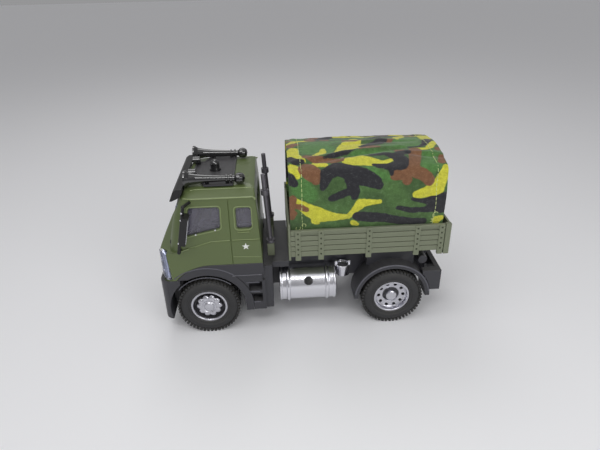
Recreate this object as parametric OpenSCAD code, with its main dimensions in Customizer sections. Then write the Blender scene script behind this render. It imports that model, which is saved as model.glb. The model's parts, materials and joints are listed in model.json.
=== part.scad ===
// Toy military cargo truck: die-cast cab on a moulded chassis, slatted cargo bed
// with a fabric tilt over hoops. +X points forward, +Y to the truck's left, +Z up.
// The origin lies on the ground at the middle of the truck's length and width.

/* [Overall] */
// Distance between the two axles
wheelbase = 100; // [88:1:122]
// Front axle to the front of the bumper
front_overhang = 25; // [24.5:0.5:28]
// Rear axle to the back of the tailgate
rear_overhang = 28; // [23:0.5:34]
// Width over the wheels, the cab and the bed
body_w = 58; // [50:1:70]

/* [Wheels] */
// Tyre outer diameter
tyre_d = 33.4; // [28:0.2:35]
// Tyre width
tyre_w = 12; // [9:0.5:13]
// Diameter of the rim's seat in the tyre
rim_d = 19.6; // [16:0.2:22]
// Steel axle diameter
axle_d = 2.4; // [2:0.1:3.2]
// Running gap between tyre and chassis side
wheel_gap = 1.5; // [1:0.1:2.5]

/* [Cab] */
// Front axle to the cab's back wall at its foot
cab_back = 30.7; // [26:0.1:36]
// Height of the cab's bottom edge
cab_floor_z = 43.3; // [42.8:0.1:48]
// Height of the crease below the side windows
belt_z = 57; // [56:0.1:59]
// Height of the gutter above the side windows
drip_z = 80; // [77:0.1:86]
// Height of the roof panel's edge above the gutter
roof_rise = 3.4; // [2.5:0.1:4.5]
// How far each side leans in at the gutter
cab_lean = 2.5; // [1:0.1:4]
// Thickness of the die-cast cab wall
cab_wall = 1.2; // [0.9:0.1:1.6]
// Thickness of the clear window insert
glass_t = 0.8; // [0.6:0.1:1]

/* [Chassis] */
// Height of the top of the chassis beam
chassis_top = 40.4; // [38:0.1:42]
// Height of the underside of the chassis beam
chassis_low = 25; // [23:0.5:28]
// Height of the underside of the axle carriers
carrier_low = 11; // [9:0.5:12.5]
// Hole for a display screw
screw_d = 2.2; // [1.8:0.1:2.6]
// Depth of a display screw's hole
screw_depth = 8; // [5:0.5:10]

/* [Cargo bed] */
// Gap between the cab's back wall and the bed
bed_gap = 13.4; // [12:0.1:16]
// Height of the side boards' lower edge
board_z = 45.9; // [45:0.1:48]
// Height of the side boards
board_h = 15.1; // [12:0.1:18.5]
// Thickness of the side boards
board_t = 1.8; // [1.4:0.1:2.4]
// Thickness of the headboard and the tailgate
end_t = 1.2; // [1:0.1:1.6]
// Thickness of the deck plate
deck_t = 2; // [1.5:0.1:3]

/* [Tilt cover] */
// Height of the top of the cover
cover_top = 96.5; // [85:0.5:112]
// Thickness of the folded cloth
cover_t = 0.8; // [0.6:0.1:1]
// Depth of the cover's edge below the top of the boards
cover_tuck = 5; // [3:0.5:8]
// Thickness of the hoops' bars
hoop_t = 1.5; // [1.2:0.1:2]

/* [Fuel tank] */
// Tank diameter
tank_d = 20.6; // [17:0.1:21]
// Tank length
tank_len = 30.7; // [24:0.1:32]

/* [Hidden] */
$fn = 64;

// colours
olive = [0.28, 0.33, 0.2];
olive_plastic = [0.36, 0.39, 0.3];
black_plastic = [0.07, 0.07, 0.08];
silver = [0.78, 0.78, 0.8];
camo_green = [0.45, 0.5, 0.18];

// general clearances
fit = 0.1;      // between pieces that are clipped or glued together
press = 0.02;   // radial room of a rim on its axle and of a tyre on its rim
run = 0.1;      // radial room of an axle in its carrier
soft_gap = 0.3; // between the cloth and its hoops
eps = 0.01;

// stations along the truck
total_len = front_overhang + wheelbase + rear_overhang;
front_x = total_len / 2;
rear_x = -total_len / 2;
front_axle_x = front_x - front_overhang;
rear_axle_x = rear_x + rear_overhang;
axle_z = tyre_d / 2;
half_w = body_w / 2;

// chassis
frame_half = half_w - tyre_w - wheel_gap;
chassis_front = front_axle_x + 13.3;
chassis_rear = rear_x + 7;
carrier_half_len = 10;
catwalk_half = half_w - 5.2;
boss_d = 6.4;
boss_z = 15;
boss_front_x = front_axle_x - 20.5;
boss_rear_x = rear_axle_x + 22.5;

// cab: a form cut by a side, a front and a top outline
cab_rear_x = front_axle_x - cab_back;
cab_rear_lean = 2.1;
nose_x = front_x - 1.3;
nose_low = 34.8;
roof_z = drip_z + roof_rise;
roof_half = half_w - 6.7;
crown = 0.7;
nose_top = belt_z - 6;
nose_bow = 1.6;
cab_corner = 5;
screen_foot = front_axle_x + 18.8;
screen_head = front_axle_x + 10;
cut_r = 24.6;
cut_x = front_axle_x - 3.6;
cut_z = cab_floor_z - cut_r;
glass_gap = 0.15;

// arches, skirts and steps
arch_gap = 3.7;
arch_r = max(tyre_d / 2 + arch_gap, nose_low - axle_z + 2.3); // reaches above the nose's edge
mudguard_r = tyre_d / 2 + 4.2;
arch_band = 4.1;
proud = 0.3;
skirt_h = 6.8;
skirt_z = cab_floor_z - skirt_h;
arch_out = max(arch_r + arch_band, skirt_z - axle_z + 1.5); // the band always reaches the skirt
step_low = 13.7;
step_back = 4.4;
bumper_low = 10.5;

// bed
bed_front = cab_rear_x - bed_gap;
board_top = board_z + board_h;
deck_top = board_z + 1.2;
deck_low = deck_top - deck_t;
inner_half = half_w - board_t;
floor_rise = 0.3;
post_w = 2.9;
post_proud = 0.5;
post_drop = 2.2;
post_x = [bed_front - 4.9, bed_front - 16.7, bed_front - 41.5, bed_front - 66.6, rear_x + 4.8];
corner_post = 2.9;

// tilt cover
cover_front = bed_front - end_t - 0.3;
cover_rear = rear_x + 4.4;
cover_half = inner_half - 0.6;
cover_low = board_top - cover_tuck;
cover_corner = 4;
cover_crown = 4.8;
hoop_half = cover_half - cover_t - soft_gap;
hoop_top = cover_top - cover_t - soft_gap;
floor_half = hoop_half - hoop_t - 0.6;
hoop_x = [for (i = [0:3]) cover_front - 3.2 - hoop_t / 2
          - i * (cover_front - cover_rear - 6.4 - hoop_t) / 3];

// tanks
tank_front = front_axle_x - 38.5;
tank_z = 24;
tank_y = half_w - tank_d / 2;

// roof equipment
plate_z = roof_z + crown + fit;
plate_front = front_axle_x + 3.8;
plate_notch = front_axle_x - 3.5;
plate_rear = front_axle_x - 18;
plate_t = 0.7;
plate_pan = 0.4;
plate_half = roof_half - 0.8;
horn_y = 18.6;
horn_z = roof_z + 3.4;
horn_back = front_axle_x - 24.1;
horn_len = 30.2;
horn_tilt = 1.5;
bell_r = 4.2;
lamp_y = 9.2;
lamp_z = roof_z + 3.6;

// exhaust stacks
stack_x = cab_rear_x - 4.2;
stack_lean = cab_rear_lean;
stack_y = catwalk_half - 8.5;
stack_foot = chassis_top + 7.4;
stack_top = roof_z + 3.6;
stack_r = 1.2;

// ---------- outline helpers ----------

// points of a corner b, between a and c, rounded to radius r with n steps
function corner(a, b, c, r, n) =
    let (u = (a - b) / norm(a - b), v = (c - b) / norm(c - b),
         half = acos(u * v) / 2,
         mid = b + (u + v) / norm(u + v) * r / sin(half),
         s = b + u * r / tan(half) - mid, e = b + v * r / tan(half) - mid,
         s0 = atan2(s[1], s[0]), turn = atan2(e[1], e[0]) - s0,
         way = turn > 180 ? turn - 360 : turn < -180 ? turn + 360 : turn)
    r == 0 ? [b] : [for (i = [0:n]) mid + r * [cos(s0 + way * i / n), sin(s0 + way * i / n)]];

// outline p with every corner i rounded to radius r[i]
function rounded(p, r, n = 5) =
    [for (i = [0:len(p) - 1])
        each corner(p[(i + len(p) - 1) % len(p)], p[i], p[(i + 1) % len(p)], r[i], n)];

// points of an arc about x, z from angle a0 to angle a1
function arc(x, z, r, a0, a1, n) =
    [for (k = [0:n]) [x, z] + r * [cos(a0 + (a1 - a0) * k / n), sin(a0 + (a1 - a0) * k / n)]];

// the same radius for all corners
function evenly(p, r, n = 5) = rounded(p, [for (q = p) r], n);

// outline in X and Z, drawn out along Y from y0 to y1
module along_y(y0, y1) {
    translate([0, y1, 0]) rotate([90, 0, 0]) linear_extrude(y1 - y0) children();
}

// outline in Y and Z, drawn out along X from x0 to x1
module along_x(x0, x1) {
    translate([x0, 0, 0]) rotate([90, 0, 90]) linear_extrude(x1 - x0) children();
}

module box(x0, x1, y0, y1, z0, z1) {
    translate([x0, y0, z0]) cube([x1 - x0, y1 - y0, z1 - z0]);
}

// disc or hole whose axis runs along Y
module wheel_cyl(x, z, r, y0, y1) {
    translate([x, y0, z]) rotate([-90, 0, 0]) cylinder(r = r, h = y1 - y0);
}

// round bar from point p to point q
module bar(p, q, r) {
    v = q - p;
    translate(p) rotate([0, acos(v[2] / norm(v)), atan2(v[1], v[0])]) cylinder(r = r, h = norm(v));
}

module on_side(side) {
    if (side > 0) children();
    else mirror([0, 1, 0]) children();
}

// ---------- chassis ----------

module chassis_base() {
    color(black_plastic) difference() {
        union() {
            box(chassis_rear, chassis_front, -frame_half, frame_half, chassis_low, chassis_top);
            for (x = [front_axle_x, rear_axle_x])
                box(x - carrier_half_len, x + carrier_half_len, -frame_half, frame_half,
                    carrier_low, chassis_low + eps);
            for (x = [boss_front_x, boss_rear_x])
                translate([x, 0, boss_z]) cylinder(d = boss_d, h = chassis_low - boss_z + 1);
            box(boss_rear_x + 9, boss_front_x - 12, -8, 8, boss_z + 1, chassis_low + eps);
            // catwalk between the cab and the bed
            box(bed_front, cab_rear_x - step_back - fit, -catwalk_half, catwalk_half,
                chassis_top - 3.4, chassis_top);
        }
        for (x = [front_axle_x, rear_axle_x])
            wheel_cyl(x, axle_z, axle_d / 2 + run, -frame_half - 1, frame_half + 1);
        for (x = [boss_front_x, boss_rear_x])
            translate([x, 0, boss_z - 1]) cylinder(d = screw_d, h = screw_depth + 1);
    }
}

module front_bumper() {
    z1 = nose_low - fit;
    color(black_plastic) difference() {
        intersection() {
            along_y(-half_w - proud, half_w + proud)
                polygon([[chassis_front + fit, bumper_low], [front_x - 1.6, bumper_low],
                         [front_x - 0.2, bumper_low + 2.4], [front_x, z1 - 7], [front_x - 0.5, z1 - 1.2],
                         [front_x - 1.1, z1], [chassis_front + fit, z1]]);
            translate([0, 0, bumper_low - 1]) linear_extrude(z1 - bumper_low + 2)
                polygon(rounded([[chassis_front - 1, -half_w - proud], [front_x - 1.2, -half_w - proud],
                                 [front_x, 0], [front_x - 1.2, half_w + proud],
                                 [chassis_front - 1, half_w + proud]], [0, 5, 0, 5, 0]));
        }
        for (s = [-1, 1])
            wheel_cyl(front_axle_x, axle_z, arch_r, s > 0 ? frame_half : -half_w - 2,
                      s > 0 ? half_w + 2 : -frame_half);
        // number plate recess
        box(front_x - 1.6, front_x + 1, -9, 9, bumper_low + 8, bumper_low + 13);
        // fog lamp recesses
        for (s = [-1, 1])
            box(front_x - 2.4, front_x + 1, s > 0 ? 12.5 : -19.5, s > 0 ? 19.5 : -12.5,
                bumper_low + 14.5, bumper_low + 19);
    }
}

// ---------- cab ----------

// plan outline between the stations x0 and x1, w to each side, with a bowed front
function plan(x0, x1, w, r) = rounded(
    [[x0, -w], [x1 - nose_bow, -w], [x1, 0], [x1 - nose_bow, w], [x0, w]],
    [0.8, r, 60, r, 0.8], 6);

module slice(z, x0, x1, w, r) {
    translate([0, 0, z]) linear_extrude(eps) polygon(plan(x0, x1, w, r));
}

// lower half of the cab up to the crease, every face moved in by i
module lower_cab(i) {
    intersection() {
        along_y(-half_w - 1, half_w + 1)
            polygon([[cab_rear_x + i, cab_floor_z - 9], [cab_rear_x + i + 0.8, belt_z - i],
                     [front_axle_x - 6.3, belt_z - i], [front_axle_x + 16.7 - i / 2, nose_top - i],
                     [nose_x - 1 - i, nose_top - 0.4 - i], [nose_x - i, nose_top - 1.9 - i],
                     [nose_x - i, cab_floor_z - 9]]);
        translate([0, 0, nose_low - 2]) linear_extrude(belt_z - nose_low + 4)
            polygon(plan(cab_rear_x - 1, nose_x - i, half_w - i, cab_corner - i));
    }
}

// upper half of the cab with windscreen and roof, every face moved in by i
module greenhouse(i) {
    rear = cab_rear_x + i;
    side = half_w - 0.5 - i;
    r = 6 - i;
    hull() {
        slice(nose_top - 3, rear + 0.5, screen_foot - i, side, r);
        slice(belt_z, rear + 0.8, screen_foot - 1.4 - i, side, r);
        slice(belt_z + 13, rear + 1.4, screen_foot - 4.4 - i, side - (cab_lean - 0.5) * 0.56, r);
        slice(drip_z, rear + cab_rear_lean, screen_head - i, side - cab_lean + 0.5, r);
        slice(roof_z - 0.3 - i, rear + cab_rear_lean + 0.3, screen_head - 3 - i,
              roof_half + 0.3 - i, r);
        slice(roof_z + crown - i, rear + cab_rear_lean + 3, screen_head - 9, roof_half - 6, r);
    }
}

module cab_below_cut(gap) {
    box(cab_rear_x - 2, cut_x, -half_w - 2, half_w + 2, 0, cab_floor_z + gap);
    wheel_cyl(cut_x, cut_z, cut_r + gap, -half_w - 2, half_w + 2);
    box(cut_x, front_x + 2, -half_w - 2, half_w + 2, 0, nose_low);
}

door_window = evenly([[front_axle_x + 4.4, drip_z - 4.6], [front_axle_x - 10.7, drip_z - 4.6],
    [front_axle_x - 10.3, belt_z + 7], [front_axle_x + 7.9, belt_z + 3.2]], 1.6);
rear_window = evenly([[cab_rear_x + 12.2, belt_z + 6.4], [cab_rear_x + 12.2, drip_z - 5.4],
    [cab_rear_x + 4.6, drip_z - 5.4], [cab_rear_x + 4.6, belt_z + 6.4]], 1.4);
windscreen = evenly([[-24.3, nose_top + 3.6], [24.3, nose_top + 3.6],
    [half_w - 6.2, drip_z - 3], [6.2 - half_w, drip_z - 3]], 2);
back_window = evenly([[-17, belt_z + 5], [17, belt_z + 5], [17, drip_z - 6], [-17, drip_z - 6]], 2);

// space that a headlight takes at one front corner
module headlight_space(gap) {
    intersection() {
        along_y(18.6 - gap, half_w + 2)
            polygon([[front_axle_x + 17.2 - gap, nose_low + 0.6 - gap], [front_x + 2, nose_low + 0.6 - gap],
                     [front_x + 2, nose_top + 4], [nose_x - 3.2, nose_top + 4],
                     [front_axle_x + 18.4 - gap, nose_top + 0.6]]);
        along_x(front_axle_x + 8, front_x + 2)
            polygon([[18.6 - gap, nose_low], [half_w + 2, nose_low], [half_w + 2, nose_top - 2],
                     [half_w - 2, nose_top + 2.6], [half_w - 4.4, nose_top - 0.2 + gap],
                     [18.6 - gap, nose_top - 2 + gap]]);
    }
}

module grille_space(gap) {
    along_x(nose_x - 6, front_x + 2)
        polygon(evenly([[-16.8 - gap, nose_low + 2.4 - gap], [16.8 + gap, nose_low + 2.4 - gap],
                        [16.8 + gap, nose_top - 3.2 + gap], [-16.8 - gap, nose_top - 3.2 + gap]], 1));
}

module cab_shell() {
    color(olive) difference() {
        union() { lower_cab(0); greenhouse(0); }
        lower_cab(cab_wall);
        greenhouse(cab_wall);
        cab_below_cut(fit);
        along_y(-half_w - 1, half_w + 1) polygon(door_window);
        along_y(-half_w - 1, half_w + 1) polygon(rear_window);
        along_x(front_axle_x, front_x) polygon(windscreen);
        along_x(cab_rear_x - 2, cab_rear_x + 8) polygon(back_window);
        for (s = [-1, 1]) on_side(s) headlight_space(fit);
        grille_space(fit);
    }
}

module cab_glazing() {
    inset = cab_wall + glass_gap;
    color([0.75, 0.82, 0.85, 0.5]) intersection() {
        difference() {
            greenhouse(inset);
            greenhouse(inset + glass_t);
        }
        box(cab_rear_x, front_x, -half_w, half_w, belt_z + 1, roof_z);
    }
}

module cab_interior() {
    floor_z = cab_floor_z + 0.2;
    tray_half = half_w - cab_wall - 0.5;
    seat_x = front_axle_x - 14;
    color([0.2, 0.2, 0.21]) union() {
        box(cab_rear_x + cab_wall + 0.6, cut_x, -tray_half, tray_half, floor_z, floor_z + 1.2);
        box(cab_rear_x + cab_wall + 0.6, front_axle_x + 12, -frame_half + 0.2, frame_half - 0.2,
            chassis_top, floor_z + 1.2);
        // seats and engine tunnel
        for (s = [-1, 1]) {
            box(seat_x, seat_x + 13, s * 15 - 7, s * 15 + 7, floor_z + 1, floor_z + 9);
            box(seat_x - 3, seat_x + 0.5, s * 15 - 6.5, s * 15 + 6.5, floor_z + 1, floor_z + 27);
        }
        box(seat_x - 3, front_axle_x + 11.5, -5, 5, floor_z + 1, floor_z + 6);
        // rear bench
        box(cab_rear_x + cab_wall + 1, seat_x - 6, -22, 22, floor_z + 1, floor_z + 8);
        // dashboard
        along_y(-23, 23)
            polygon([[front_axle_x + 5, floor_z + 10.5], [front_axle_x + 6, floor_z + 13.6],
                     [front_axle_x + 12, floor_z + 12.4], [front_axle_x + 12, floor_z + 7]]);
        box(front_axle_x + 8, front_axle_x + 11.9, -5, 5, floor_z + 1, floor_z + 8);
    }
}

module steering_wheel() {
    color(black_plastic) translate([front_axle_x + 2.2, 15, cab_floor_z + 15.4]) rotate([0, 62, 0]) {
        rotate_extrude() translate([4.4, 0]) circle(r = 0.6, $fn = 16);
        translate([0, 0, -0.5]) cylinder(r = 1.5, h = 1);
        for (a = [0, 120, 240]) rotate(a + 60) translate([0.8, -0.4, -0.4]) cube([3.4, 0.8, 0.8]);
        cylinder(r = 0.7, h = 3.6);
    }
}

module grille() {
    color(black_plastic) difference() {
        intersection() {
            lower_cab(0.3);
            grille_space(0);
        }
        lower_cab(2.1);
        for (k = [0:3])
            box(nose_x - 1.1, front_x, -15.4, 15.4, nose_low + 3.6 + k * 2.5, nose_low + 4.7 + k * 2.5);
    }
}

module headlight() {
    color([0.8, 0.85, 0.9]) difference() {
        intersection() {
            headlight_space(0);
            translate([0, 0, nose_low]) linear_extrude(nose_top + 6 - nose_low)
                polygon(plan(cab_rear_x, nose_x, half_w, cab_corner));
        }
        translate([0, 0, nose_low - 1]) linear_extrude(nose_top + 8 - nose_low)
            polygon(plan(cab_rear_x, nose_x - 2.4, half_w - 2.4, cab_corner - 2.4));
    }
}

// hollow sun visor with a cheek at each end
module sun_visor() {
    x = front_axle_x;
    z = roof_z;
    end = half_w - cab_lean - 1.5;
    hood = [[x + 6.6, z + 1.3], [x + 9.6, z + 1.2], [x + 11.3, z], [x + 13.4, z - 4.8]];
    color(black_plastic) union() {
        along_y(-end, end)
            polygon(concat(hood, [[x + 12.3, z - 4.9], [x + 10.4, z - 0.8], [x + 9.2, z + 0.1],
                                  [x + 6.6, z + 0.2]]));
        for (s = [-1, 1])
            along_y(s * (end - 0.5) - 0.5, s * (end - 0.5) + 0.5)
                polygon(concat(hood, [[x + 12.3, z - 4.9], [x + 8, z - 3], [x + 6.6, z - 0.4]]));
    }
}

// arch over the front wheel with the skirt behind it
module front_arch() {
    color(black_plastic) along_y(frame_half, half_w + proud) polygon(concat(
        [[cab_rear_x, cab_floor_z], [cab_rear_x, skirt_z]],
        arc(front_axle_x, axle_z, arch_out, 180 - asin((skirt_z - axle_z) / arch_out),
            180 - asin((step_low - axle_z) / arch_out), 10),
        arc(front_axle_x, axle_z, arch_r, 180 - asin((step_low - axle_z) / arch_r),
            asin((nose_low - axle_z) / arch_r), 24),
        arc(cut_x, cut_z, cut_r, asin((nose_low - cut_z) / cut_r), 90, 12)));
}

// steps below the cab, with the box behind them
module cab_step() {
    top = skirt_z - fit;
    rear = cab_rear_x - step_back;
    color(black_plastic) difference() {
        union() {
            along_y(frame_half, half_w - 0.2)
                polygon([[cab_rear_x - 0.4, step_low], [front_axle_x, step_low], [front_axle_x, top],
                         [cab_rear_x - 0.4, top]]);
            box(rear, cab_rear_x, frame_half, half_w - 1.6, step_low, chassis_top);
        }
        wheel_cyl(front_axle_x, axle_z, arch_out + fit, 0, half_w + 2);
        for (z = [[step_low + 5.2, step_low + 10.4], [step_low + 12.5, step_low + 18]])
            box(cab_rear_x + 1.4, cab_rear_x + 8.4, half_w - 5, half_w + 2, z[0], z[1]);
        box(cab_rear_x - 1, cab_rear_x + 1, half_w - 1.6, half_w + 2, top - 4, top + 1);
    }
}

// ---------- roof equipment ----------

// plan of the roof plate, notched at its front corners for the horns
function roof_plate(i) = [[plate_rear + i, -plate_half + i], [plate_notch - i, -plate_half + i],
    [plate_notch + 3 - i, -13 + i], [plate_front - i, -13 + i], [plate_front - i, 13 - i],
    [plate_notch + 3 - i, 13 - i], [plate_notch - i, plate_half - i], [plate_rear + i, plate_half - i]];

module roof_platform() {
    color(black_plastic) difference() {
        translate([0, 0, plate_z]) linear_extrude(plate_t) polygon(roof_plate(0));
        translate([0, 0, plate_z + plate_pan]) linear_extrude(2) polygon(roof_plate(1));
    }
}

// trumpet horn on two feet; its mouth faces forward
module roof_horn() {
    foot = plate_z + plate_pan;
    color(black_plastic) difference() {
        union() {
            horn_axis() rotate_extrude()
                polygon([[0, 0], [1.6, 0.35], [2.6, 1.4], [2.85, 2.8], [2.6, 4.2], [1.6, 5.3], [1.5, 6.4],
                         [2.1, 6.6], [2.1, 7.4], [1.5, 7.6], [1.5, 8.6], [2, 8.8], [2, 9.5], [1.5, 9.7],
                         [1.7, 15], [2, 20], [2.5, 24.4], [3.1, horn_len - 2.8], [bell_r, horn_len - 0.9],
                         [bell_r, horn_len], [0, horn_len]]);
            for (x = [9, 19])
                translate([horn_back + x, horn_y, foot]) cylinder(r = 1, h = horn_z - foot);
        }
        horn_axis() rotate_extrude()
            polygon([[0, horn_len - 5], [1.6, horn_len - 4.4], [2.4, horn_len - 2.4],
                     [bell_r - 0.6, horn_len + eps], [0, horn_len + eps]]);
    }
}

module horn_axis() {
    translate([horn_back, horn_y, horn_z]) rotate([0, 90 - horn_tilt, 0]) children();
}

module roof_beacon() {
    color(black_plastic) translate([front_axle_x - 7.5, 0, plate_z + plate_pan]) {
        cylinder(r = 3, h = 1.2);
        translate([0, 0, 1.2]) cylinder(r = 2.4, h = 2.2);
        translate([0, 0, 3.4]) intersection() {
            sphere(r = 2.4);
            cylinder(r = 3, h = 3);
        }
    }
}

module roof_lamps() {
    foot = plate_z + plate_pan;
    color(black_plastic) for (s = [-1, 1]) {
        translate([plate_front - 2, s * lamp_y, foot]) cylinder(r = 0.8, h = lamp_z - foot);
        translate([plate_front - 2.4, s * lamp_y, lamp_z]) rotate([0, 90, 0]) cylinder(r = 2.1, h = 3.6);
    }
}

// mirror head on its bent bracket
module mirror_arm() {
    y = half_w + 3;
    low = [front_axle_x + 10.9, y, belt_z - 3.4];
    high = [front_axle_x + 5.8, y, drip_z - 1.4];
    r = 0.8;
    color(black_plastic) union() {
        bar(low, high, r);
        for (p = [low, high]) translate(p) sphere(r = r + 0.15);
        bar(low, [low[0] - 0.3, half_w + 0.05, low[2]], r);
        bar(high, [high[0] - 2.4, half_w - cab_lean + 0.4, high[2]], r);
        // housing behind the bar
        translate((low + high) / 2 + [-0.4, 0, 1])
            rotate([0, -atan2(low[0] - high[0], high[2] - low[2]), 0])
                translate([-3, -2.4, -7.5]) cube([3.2, 6.5, 15]);
    }
}

// ---------- behind the cab ----------

module exhaust_stack() {
    low = [stack_x, stack_y, stack_foot];
    high = [stack_x + stack_lean, stack_y, stack_top];
    up = (high - low) / norm(high - low);
    color(black_plastic) difference() {
        union() {
            bar(low, high, stack_r);
            bar(low + up * 0.4, low + up * 2, 2.4);
            bar(high - up * 11, high - up * 8.4, 2.1);
        }
        translate([stack_x - 4, stack_y - 4, stack_foot - 5]) cube([8, 8, 5]);
    }
}

module stack_base() {
    color(olive_plastic) {
        for (s = [-1, 1]) translate([stack_x, s * (stack_y - 0.6), 0])
            box(-1.9, 1.9, -2.6, 2.6, chassis_top, stack_foot);
        box(stack_x - 1.5, stack_x + 1.5, -stack_y, stack_y, chassis_top, chassis_top + 3);
    }
}

module fuel_tank() {
    color(silver) intersection() {
        translate([tank_front, tank_y, tank_z]) rotate([0, -90, 0]) union() {
            cylinder(d = tank_d - 0.9, h = tank_len);
            for (z = [0, tank_len - 1]) translate([0, 0, z]) cylinder(d = tank_d, h = 1);
            for (z = [4.8, tank_len - 4])
                translate([0, 0, z - 1.2]) cylinder(d = tank_d + 0.6, h = 2.4);
        }
        box(rear_x, front_x, frame_half, half_w + 5, 0, cab_floor_z + 5);
    }
}

module air_cup() {
    x = tank_front - tank_len - 4.2;
    y = frame_half + 4.6;
    z = tank_z + tank_d / 2 - 6.5;
    color(silver) union() {
        translate([x, y, z]) cylinder(r1 = 3, r2 = 3.9, h = 7.4);
        for (s = [-1, 1]) box(x + s * 3.4 - 0.6, x + s * 3.4 + 0.6, y - 0.9, y + 0.9, z + 6.4, z + 9.4);
        box(x - 1.4, x + 1.4, frame_half, y, z + 2, z + 5);
    }
}

// mudguard over the rear wheel with its flap
module rear_arch() {
    r_in = mudguard_r - 2.5;
    color(black_plastic) union() {
        along_y(frame_half, half_w - 0.4) difference() {
            translate([rear_axle_x, axle_z]) circle(mudguard_r);
            translate([rear_axle_x, axle_z]) circle(r_in);
            translate([rear_axle_x - 30, axle_z - 30]) square([60, 30]);
        }
        // plate that joins the mudguard to the bed
        along_y(frame_half, frame_half + 6) difference() {
            translate([rear_axle_x - 12.5, axle_z + 17]) square([26, board_z - 2.4 - axle_z - 17]);
            translate([rear_axle_x, axle_z]) circle(r_in + 1);
        }
    }
}

// rear bumper with a return at each side
module rear_crossbar() {
    color(black_plastic) union() {
        box(rear_x + 1.6, rear_x + 4.4, -half_w + 1, half_w - 1, 20, 32.4);
        for (s = [-1, 1]) {
            box(rear_x + 4.3, chassis_rear, s * 10 - 2, s * 10 + 2, 26.5, 31.5);
            difference() {
                box(rear_x + 4.3, rear_axle_x - 16, s * (half_w - 3) - 2, s * (half_w - 3) + 2, 20, 32.4);
                wheel_cyl(rear_axle_x, axle_z, mudguard_r + fit, -half_w, half_w);
            }
        }
    }
}

module tail_lamps() {
    color([0.7, 0.1, 0.08]) for (s = [-1, 1])
        box(rear_x + 0.8, rear_x + 1.6, s * 21.5 - 4.5, s * 21.5 + 4.5, 25, 29.5);
}

module air_tank() {
    color(black_plastic) for (s = [-1, 1]) on_side(s)
        wheel_cyl(rear_axle_x - 16.4, chassis_top - 2.8, 2.4, frame_half, half_w - 4.5);
}

// ---------- cargo bed ----------

module bed_deck() {
    color(olive_plastic) union() {
        box(rear_x + end_t, bed_front - end_t, -inner_half, inner_half, deck_low, deck_top);
        // raised load floor between the feet of the hoops
        box(rear_x + end_t + 2, bed_front - end_t - 2, -floor_half, floor_half,
            deck_top - eps, deck_top + floor_rise);
        for (s = [-1, 1])
            box(chassis_rear + 1, bed_front - end_t - 1, s * 10 - 2, s * 10 + 2, chassis_top, deck_low + eps);
    }
}

module side_board() {
    color(olive_plastic) union() {
        box(rear_x + corner_post, bed_front - end_t, inner_half, half_w, board_z, board_top);
        for (x = post_x)
            box(x - post_w / 2, x + post_w / 2, inner_half + 0.6, half_w + post_proud,
                board_z - post_drop, board_top);
    }
}

module headboard() {
    color(olive_plastic) union() {
        box(bed_front - end_t, bed_front, -half_w, half_w, board_z - post_drop, board_top);
        for (s = [-1, 1])
            box(bed_front - end_t, bed_front, s * (half_w - 1.5) - 1.5, s * (half_w - 1.5) + 1.5,
                board_top - 1, board_top + 2.9);
    }
}

module tailgate() {
    color(olive_plastic) union() {
        box(rear_x, rear_x + end_t, -half_w, half_w, board_z, board_top);
        for (s = [-1, 1])
            on_side(s) box(rear_x, rear_x + corner_post, inner_half, half_w + post_proud,
                           board_z - post_drop, board_top + 0.4);
    }
}

function tilt_outline(w, z0, z1, r) = rounded(
    [[-w, z0], [-w + 0.4, z1 - cover_crown], [-w * 0.55, z1 - cover_crown * 0.3], [0, z1],
     [w * 0.55, z1 - cover_crown * 0.3], [w - 0.4, z1 - cover_crown], [w, z0]],
    [0, r, 30, 60, 30, r, 0], 6);

module canopy_frame() {
    color(olive_plastic) union() {
        for (x = hoop_x) along_x(x - hoop_t / 2, x + hoop_t / 2) difference() {
            polygon(tilt_outline(hoop_half, deck_top, hoop_top, cover_corner - 1));
            polygon(tilt_outline(hoop_half - hoop_t, deck_top - 1, hoop_top - hoop_t, cover_corner - 1.6));
        }
        for (y = [-12, 12])
            box(cover_rear + 3.2, cover_front - 3.2, y - 0.8, y + 0.8,
                hoop_top - cover_crown * 0.3 - 1.3, hoop_top - cover_crown * 0.3 - 0.2);
        for (s = [-1, 1])
            box(cover_rear + 3.2, cover_front - 3.2, s * (hoop_half - 0.8) - 0.6,
                s * (hoop_half - 0.8) + 0.6, board_top - 3, board_top - 1.6);
    }
}

module canopy_cover() {
    color(camo_green) along_x(cover_rear, cover_front) difference() {
        polygon(tilt_outline(cover_half, cover_low, cover_top, cover_corner));
        polygon(tilt_outline(cover_half - cover_t, cover_low - 1, cover_top - cover_t, cover_corner - 0.8));
    }
}

// ---------- wheels ----------

module axle(x) {
    color([0.6, 0.6, 0.62]) wheel_cyl(x, axle_z, axle_d / 2, -half_w + 3, half_w - 3);
}

// rubber tyre with rounded shoulders, set on the rim
module tyre(x) {
    r = tyre_d / 2;
    r0 = rim_d / 2 + press;
    color(black_plastic) translate([x, half_w - tyre_w, axle_z]) rotate([-90, 0, 0]) rotate_extrude()
        polygon(rounded([[r0, 0], [r - 0.6, 0], [r, 1.2], [r, tyre_w - 1.2], [r - 0.6, tyre_w], [r0, tyre_w]],
                        [0.2, 0.8, 0.8, 0.8, 0.8, 0.2], 3));
}

// front rim with a domed hub
module front_rim() {
    r = rim_d / 2;
    color(silver) difference() {
        translate([front_axle_x, half_w - tyre_w, axle_z]) rotate([-90, 0, 0]) rotate_extrude()
            polygon([[0, 2], [r, 2], [r, tyre_w - 0.3], [r - 0.9, tyre_w - 0.3], [r - 1.5, tyre_w - 1.5],
                     [r - 2.8, tyre_w - 2.4], [r - 3.2, tyre_w - 1.2], [r - 5, tyre_w - 0.1],
                     [r - 6.4, tyre_w + 0.3], [0, tyre_w + 0.3]]);
        wheel_cyl(front_axle_x, axle_z, axle_d / 2 + press, 0, half_w - 3 + fit);
    }
}

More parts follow.
